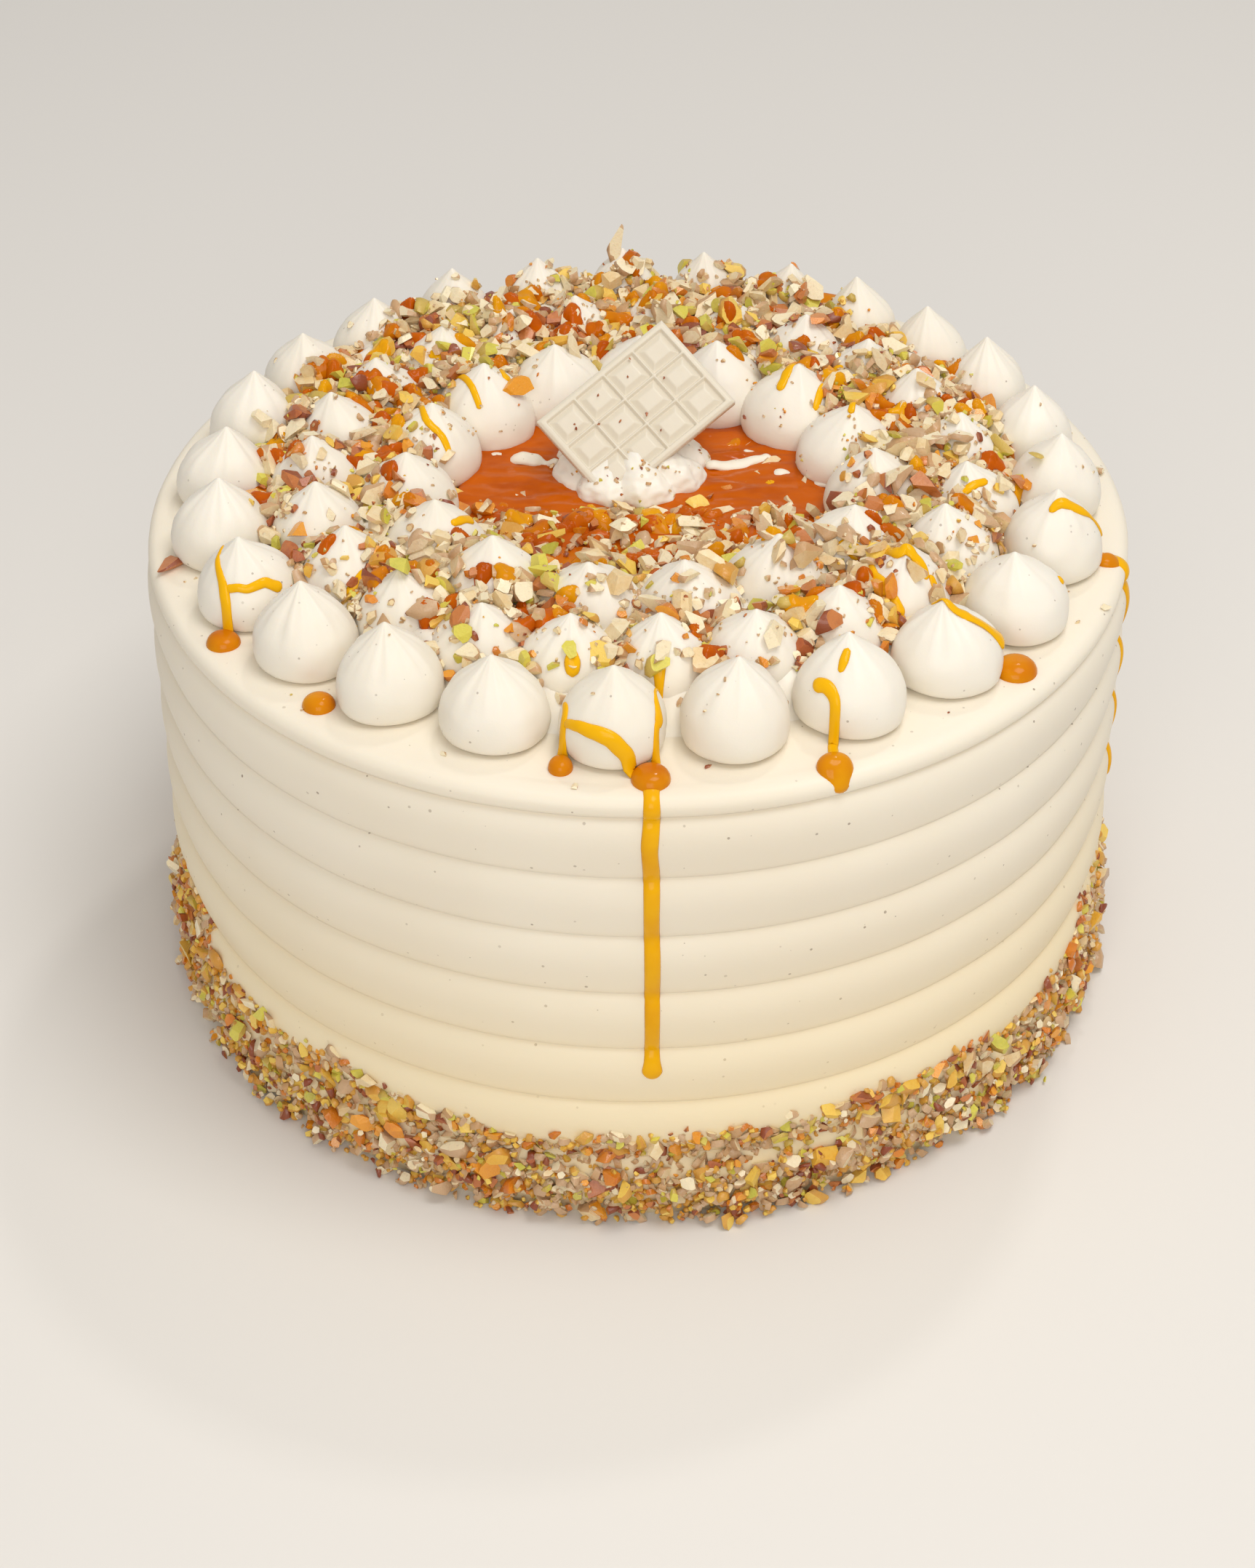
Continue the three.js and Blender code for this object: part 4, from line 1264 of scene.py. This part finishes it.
def laySingleNuts():
    laid = []
    for kind, x, y, size, above, turn in singleNuts:
        place = np.array((x, y, heightAt(x, y) + above))
        laid.append({"place": place, "turn": turn, "size": size, "tone": 0.35, "kind": kind})
    return laid


def splitKinds(prefix, laid, lumpSets):
    for kind in nutLooks:
        chosen = [item for item in laid if item["kind"] == kind]
        if not chosen:
            continue
        count = len(lumpSets[kind].objects)
        for n, item in enumerate(chosen):
            item["pick"] = (n * 5) % count
        scatterPiece(f"{prefix}_{kind}", lumpSets[kind], chosen, nutMaterials[kind])


lumpSets = {label: {} for label in lumpForms}
for m, (label, form) in enumerate(lumpForms.items()):
    for n, kind in enumerate(nutLooks):
        lumpSets[label][kind] = makeChunkSet(f"{kind}{label}", form, 20 * m + n)

singles = laySingleNuts()
laidTop = layTopNuts()
splitKinds("nuts_top", singles + laidTop["large"], lumpSets["fine"])
splitKinds("nuts_small", laidTop["small"], lumpSets["coarse"])
splitKinds("crumbs_top", laidTop["crumbs"], lumpSets["crumb"])
print("nuts on the top made")


# Caramel that caught on the nuts, in small pools laid on the finished heaps

puddles = {"count": 190, "seed": 41, "thick": 1.5, "rings": 8, "around": 24, "small": 1.8, "large": 4.6,
           "drop": 4.2, "shallow": 0.35, "deep": 0.9}


def makePuddle(x, y, wide, deep, rng):
    rings, around = puddles["rings"], puddles["around"]
    turn = np.linspace(0, 2 * np.pi, around, endpoint=False)
    outline = patchOutline(turn, rng.uniform(0, 6, 3))
    rows = []
    for k in range(rings, 0, -1):
        share = k / rings
        ring = []
        for j in range(around):
            px = x + wide * outline[j] * share * math.cos(turn[j])
            py = y + deep * outline[j] * share * math.sin(turn[j])
            i, c = mapIndex(py), mapIndex(px)
            under = float(heightMap[i - 2:i + 3, c - 2:c + 3].mean())
            swell = puddles["thick"] * math.sqrt(max(0, 1 - share ** 2)) - 0.7 * share ** 4
            ring.append((px, py, under + swell))
        rows.append(ring)
    top = np.array(rows)
    bottom = top[::-1].copy()
    bottom[..., 2] -= 1.6
    return closedTurning(np.concatenate([bottom, top]))


def makePuddles():
    s = puddles
    rng = np.random.default_rng(s["seed"])
    parts = []
    while len(parts) < s["count"]:
        x, y = rng.uniform(-92, 92, 2)
        wide = s["small"] + (s["large"] - s["small"]) * rng.uniform() ** 1.6
        i, j, reach = mapIndex(y), mapIndex(x), int(wide / topMap["step"])
        around = heightMap[max(i - reach, 0):i + reach + 1, max(j - reach, 0):j + reach + 1]
        if rng.uniform() > nutDensity(x, y) or np.ptp(around) > s["drop"]:
            continue
        parts.append(makePuddle(x, y, wide, wide * rng.uniform(0.6, 1.1), rng))
    depths = list(rng.uniform(s["shallow"], s["deep"], len(parts)))
    finishPiece(joinMeshes("caramelPuddles", parts, caramelMaterial, depths))


makePuddles()


# Runs of caramel over the dollops, the drops at their feet and the drips down the side

runs = [  # each a line of (x, y, width)
    [(-14.2, -84.3, 1.1), (-13.8, -87, 1.9), (-14.3, -89.3, 2.4), (-14.7, -91.4, 2.8)],
    [(-14, -89, 1.6), (-11.8, -91.4, 2.2), (-8.6, -93.4, 2.9), (-4.9, -94.6, 3.4), (-1.4, -94.8, 3.0),
     (1, -94, 3.2)],
    [(3.8, -72.2, 1.5), (3.8, -73.8, 2.9), (3.9, -75.4, 2.2), (3.8, -78, 1.0), (3.2, -82, 0.8),
     (3.1, -84.6, 1.1), (3.7, -88.5, 2.5), (3.3, -90.2, 1.7), (3.1, -91.8, 2.0), (2.7, -93.6, 3.0)],
    [(-12.7, -71.2, 1.6), (-12.7, -73, 3.2), (-12.7, -74.6, 2.4)],
    [(-82.9, -37.2, 0.9), (-83.7, -41.8, 1.3), (-82.3, -46.4, 2.2), (-81.8, -48.8, 2.4),
     (-82.2, -50.6, 3.0)],
    [(-81.9, -46.5, 1.8), (-77.6, -46.9, 1.8), (-73.9, -45.3, 2.2), (-71, -44, 2.6)],
    [(40.1, -32.1, 3.0), (44.3, -34.1, 3.2), (45.6, -39, 2.8), (46.5, -45.3, 2.5), (50, -50.9, 3.0),
     (51.3, -52.8, 3.6)],
    [(46.7, -31.7, 1.6), (49, -37, 2.0), (51.1, -43.3, 2.6), (53.1, -43.9, 2.4), (55.9, -45.8, 2.0),
     (57, -47.5, 1.4)],
    [(57.6, -46.6, 1.2), (59.4, -48.8, 1.8)],
    [(57, -59, 1.5), (60.3, -62.4, 2.0), (63.1, -62.8, 2.4), (67.9, -62.4, 3.0), (71, -61.5, 4.2)],
    [(83.2, -26.8, 1.2), (85, -25.6, 2.2), (86.9, -25.2, 2.4), (90.4, -24.4, 1.9), (93, -22.8, 1.5),
     (95, -21.5, 2.0)],
    [(66.5, -15, 1.4), (68.2, -14.1, 2.0), (72.2, -11.8, 1.6)],
    [(83.6, -42.6, 1.4), (84.4, -44.4, 2.2)],
    [(-46, 43, 2.6), (-43.1, 41.1, 1.6), (-40.5, 36, 1.3), (-38.2, 30.7, 1.5), (-35.2, 24.7, 1.5),
     (-34, 22, 1.3)],
    [(-50.2, 28.3, 2.0), (-47, 20, 1.2), (-45.1, 11.9, 1.6), (-41.5, 8.8, 1.7), (-39.8, 6.5, 1.3)],
    [(-33.8, -23, 2.4), (-36.1, -26.5, 1.9), (-37.7, -28.5, 1.6)],
    [(-57.8, -45.2, 3.0), (-55.9, -43.4, 2.4), (-54.1, -41.4, 1.8)],
    [(30.6, 50.2, 1.5), (30.5, 48.6, 2.8), (30.3, 47, 1.6), (30.1, 45.4, 1.2)],
    [(37.4, 46.1, 3.0), (35.5, 38, 2.4), (33, 31.3, 2.6), (30.6, 26.1, 2.0)],
    [(45, 37.8, 1.5), (43.8, 37.4, 3.2), (42.4, 36.4, 2.0), (41, 31, 1.2), (39.8, 27.1, 1.9),
     (38.3, 22.6, 1.6)],
    [(52.1, 32.1, 1.8), (49.5, 28, 2.0), (47, 20, 1.5), (45.2, 12.9, 1.6)],
    [(-32.6, 48.2, 2.6), (-31.5, 45.5, 2.0), (-29.8, 38, 1.2), (-29.4, 32.2, 1.7), (-28, 29.5, 2.6)],
    [(33, -80.2, 3.2), (35.6, -81.8, 2.8), (37, -84, 2.3), (36.8, -86.6, 2.0), (36.9, -89.5, 2.4)],
    [(39.6, -76.6, 1.4), (38.7, -78.8, 1.9), (38, -80.4, 1.2)],
]
drops = [  # x, y, width, depth and height of each drop on the rim, from the front one on
    (2.2, -96.4, 7.6, 8.2, 2.5), (36.9, -92.9, 7.2, 7.4, 2.5), (74.0, -61.2, 8.6, 8.8, 2.7),
    (-61.9, -72.5, 6.6, 6.6, 2.4), (-82.6, -51.2, 7.0, 6.8, 2.4), (-14.8, -92.8, 4.8, 5.4, 2.3),
    (97.0, -22.0, 6.0, 4.6, 1.6),
]
drips = [  # azimuth, height and width down the side
    [(271.3, 103.3, 3.3), (271.1, 99, 3.4), (271.1, 96, 3.2), (271.3, 90, 3.3), (271.3, 80, 3.1),
     (271.4, 70, 3.2), (271.4, 58, 3.1), (271.4, 50, 3.0), (271.4, 44.6, 3.2), (271.4, 41.8, 4.1),
     (271.4, 39.8, 3.4)],
    [(347.8, 103.3, 3.6), (348.0, 99, 2.6), (348.6, 88, 2.2), (349.0, 80, 2.6), (349.2, 70, 2.0),
     (349.4, 60, 2.6), (349.5, 54, 3.0), (349.5, 51.5, 2.6)],
]
# reach and height of the drum's edge, from the top down to its first crease
rimPath = [(96.5, 108.7), (98.5, 108.65), (100.4, 108.4), (101.9, 107.9), (102.9, 107.0), (103.25, 105.8),
           (103.0, 104.8), (102.4, 104.0)]
runDepths = {"strand": 0.12, "drip": 0.25, "drop": 0.5}    # how deep the caramel looks, from 0 to 1


def overTop(line):
    # a run laid on the cream from above
    curve = curveThrough(line, 4 * len(line))
    length = np.linalg.norm(np.diff(curve[:, :2], axis=0), axis=1).sum()
    curve = curveThrough(line, max(10, int(1.6 * length / runForm["step"])))
    places, normals = [], []
    for x, y, _ in curve:
        hit, normal, _, _ = creamTree.ray_cast(Vector((x, y, 300)), Vector((0, 0, -1)))
        places.append(hit)
        normals.append(normal if normal.z > 0 else -normal)
    places, normals = np.array(places), np.array(normals)
    for _ in range(2):
        normals[1:-1] = (normals[:-2] + normals[1:-1] + normals[2:]) / 3
        eased = (places[:-2, 2] + places[1:-1, 2] + places[2:, 2]) / 3
        places[1:-1, 2] = np.maximum(eased, places[1:-1, 2] - 0.1)
    normals /= np.linalg.norm(normals, axis=1)[:, None]
    return sweepRun(places, normals, curve[:, 2])


def downWall(line):
    # a drip from the top over the edge, then down the ribs
    places, normals, widths = [], [], []
    start = math.radians(line[0][0])
    edge = curveThrough(rimPath, 40)
    tangent = np.gradient(edge, axis=0)
    tangent /= np.linalg.norm(tangent, axis=1)[:, None]
    for (reach, height), (out, rise) in zip(edge, tangent):
        places.append((reach * math.cos(start), reach * math.sin(start), height))
        normals.append((-rise * math.cos(start), -rise * math.sin(start), out))
        widths.append(line[0][2])
    for azimuth, height, width in curveThrough(line, 150):
        outward = Vector((math.cos(math.radians(azimuth)), math.sin(math.radians(azimuth)), 0))
        hit = creamTree.ray_cast(outward * 300 + Vector((0, 0, height)), -outward)[0]
        places.append(tuple(hit))
        normals.append(tuple(outward))
        widths.append(width)
    places, normals = np.array(places), np.array(normals)
    for _ in range(2):
        places[1:-1] = (places[:-2] + places[1:-1] * 2 + places[2:]) / 4
        normals[1:-1] = (normals[:-2] + normals[1:-1] * 2 + normals[2:]) / 4
    return sweepRun(places, normals, widths)


dropForm = {"around": 28, "angles": (-40, -20, 0, 14, 28, 42, 56, 68, 79), "plump": 0.85, "from": 4.5,
            "sag": 0.12}


def rimDrop(x, y, wide, deep, high):
    # a flattened dome that sags over the rim's edge
    s = dropForm
    turn = np.linspace(0, 2 * np.pi, s["around"], endpoint=False)
    rows = []
    for angle in np.radians(s["angles"]):
        share = math.cos(angle) ** s["plump"]
        ring = []
        for t in turn:
            px, py = x + wide / 2 * share * math.cos(t), y + deep / 2 * share * math.sin(t)
            past = max(0.0, math.hypot(px, py) - (drum["rimRadius"] - s["from"]))
            ring.append((px, py, drum["top"] - s["sag"] * past ** 2 + high * math.sin(angle)))
        rows.append(ring)
    return closedTurning(np.array(rows))


def makeRuns():
    parts, depths = [], []
    for line in runs:
        parts.append(overTop(line))
        depths.append(runDepths["strand"])
    for line in drips:
        parts.append(downWall(line))
        depths.append(runDepths["drip"])
    for form in drops:
        parts.append(rimDrop(*form))
        depths.append(runDepths["drop"])
    finishPiece(joinMeshes("caramelRuns", parts, caramelMaterial, depths))


makeRuns()
print("caramel runs made")


# The band of nuts round the foot

band = {"fine": 7600, "coarse": 700, "seed": 31, "step": 0.5, "deep": 52.0, "slope": 4.0, "top": 23.5,
        "behind": 2.5,
        "swells": ((198, 9, 14), (343, 10, 6)),    # azimuth, width and height of a higher stretch
        "waves": ((5, 1.0, 1.6), (11, 0, 1.1), (23, 2, 1.0)),    # how many, where they start, and height
        # the large golden and caramel shares are partly the nuts' own colours and partly a painted warm
        # reflection on the band
        "shares": {"paleNut": 0.42, "brownNut": 0.09, "caramelNut": 0.12, "goldenNut": 0.29,
                   "greenNut": 0.08}}
bandLength = 2 * math.pi * (drum["creaseRadius"] + 1.0)


def bandTop(turn):
    # the ragged upper edge of the band, in mm above the foot
    s = band
    degrees = math.degrees(turn) % 360
    height = s["top"]
    for azimuth, wide, high in s["swells"]:
        height += high * math.exp(-((degrees - azimuth) / wide) ** 2)
    height += sum(high * math.sin(count * turn + start) for count, start, high in s["waves"])
    return height + s["behind"] * (1 + math.sin(turn))


def layBandNuts():
    # pressed on from below, thickest at the foot; a map of how far they stand out keeps them off each other
    s = band
    rng = np.random.default_rng(s["seed"])
    around = int(bandLength / s["step"])
    rows = int(s["deep"] / s["step"])
    out = np.zeros((rows, around))
    laid = {True: [], False: []}
    while len(laid[False]) < s["fine"] or len(laid[True]) < s["coarse"]:
        big = len(laid[True]) * s["fine"] < len(laid[False]) * s["coarse"]
        turn = rng.uniform(0, 2 * math.pi)
        top = bandTop(turn)
        height = top * (1 - rng.uniform() ** 1.15)
        stray = abs(rng.normal())
        height += stray * (1.4 if rng.uniform() < 0.2 else 0.4)
        size = rng.uniform(1.6, 3.0) if big else 0.65 + 1.0 * rng.uniform() ** 1.5
        height = max(height, size * 0.75)
        if height > s["deep"] - 3:
            continue
        j, i = int(turn / (2 * math.pi) * around) % around, int(height / s["step"])
        stand = out[i, j]
        if stand > 0.5 + s["slope"] * max(0.0, 1 - height / top) ** 0.9:
            continue
        thick = size * 0.58
        reach = wallRadius(height) + stand + thick * 0.35
        place = np.array((reach * math.cos(turn), reach * math.sin(turn), height))
        normal = Vector((math.cos(turn), math.sin(turn), 0.3 * rng.normal()))
        laid[big].append({"place": place, "turn": leaningTurn(normal, rng, 0.6), "size": (size, size, size),
                          "tone": rng.uniform(), "kind": pickKind(rng, s["shares"])})
        span = int(math.ceil(size / s["step"]))
        for di in range(-span, span + 1):
            if not 0 <= i + di < rows:
                continue
            for dj in range(-span, span + 1):
                away = (di * di + dj * dj) * s["step"] ** 2 / size ** 2
                if away < 0.8:
                    k = (j + dj) % around
                    out[i + di, k] = max(out[i + di, k], stand + thick * (0.35 + 0.8 * math.sqrt(1 - away)))
    return laid


laidBand = layBandNuts()
splitKinds("nuts_band", laidBand[True], lumpSets["coarse"])
splitKinds("crumbs_band", laidBand[False], lumpSets["crumb"])
print("band of nuts made")


# Floor and light

studio = {
    "floorColour": (0.78, 0.755, 0.72), "floorHalf": 4000, "aim": (0, 0, 0.06),
    "worldColour": (1.0, 0.975, 0.94), "worldStrength": 0.46,
    "lights": {  # watts, and metres
        "key": {"place": (0.34, -0.22, 1.3), "power": 7.1, "size": 0.6, "colour": (1.0, 0.98, 0.95)},
        "fill": {"place": (-0.05, -1.2, 0.8), "power": 6.6, "size": 0.8, "colour": (1.0, 0.97, 0.93)},
        "sparkle": {"place": (0.25, 0.55, 1.1), "power": 1.4, "size": 0.09, "colour": (1.0, 0.98, 0.95)},
    },
}


def areaLight(name, lamp):
    data = bpy.data.lights.new(name, "AREA")
    data.energy, data.size, data.color = lamp["power"], lamp["size"], lamp["colour"]
    light = bpy.data.objects.new(name, data)
    light.location = lamp["place"]
    light.rotation_mode = "QUATERNION"
    light.rotation_quaternion = (Vector(studio["aim"]) - Vector(lamp["place"])).to_track_quat("-Z", "Y")
    scene.collection.objects.link(light)


def makeStudio():
    s = studio
    material, _, shader, _ = newMaterial("paleFloor")
    shader.inputs["Base Color"].default_value = (*s["floorColour"], 1)
    shader.inputs["Roughness"].default_value = 0.7
    half = s["floorHalf"]
    points = [(-half, -half, 0), (half, -half, 0), (half, half, 0), (-half, half, 0)]
    meshFrom("floor", points, [(0, 1, 2, 3)], material, False)
    world = bpy.data.worlds.new("studio")
    world.use_nodes = True
    background = world.node_tree.nodes["Background"]
    background.inputs["Color"].default_value = (*s["worldColour"], 1)
    background.inputs["Strength"].default_value = s["worldStrength"]
    scene.world = world
    for name, lamp in s["lights"].items():
        areaLight(name, lamp)


makeStudio()
print("floor and light made")
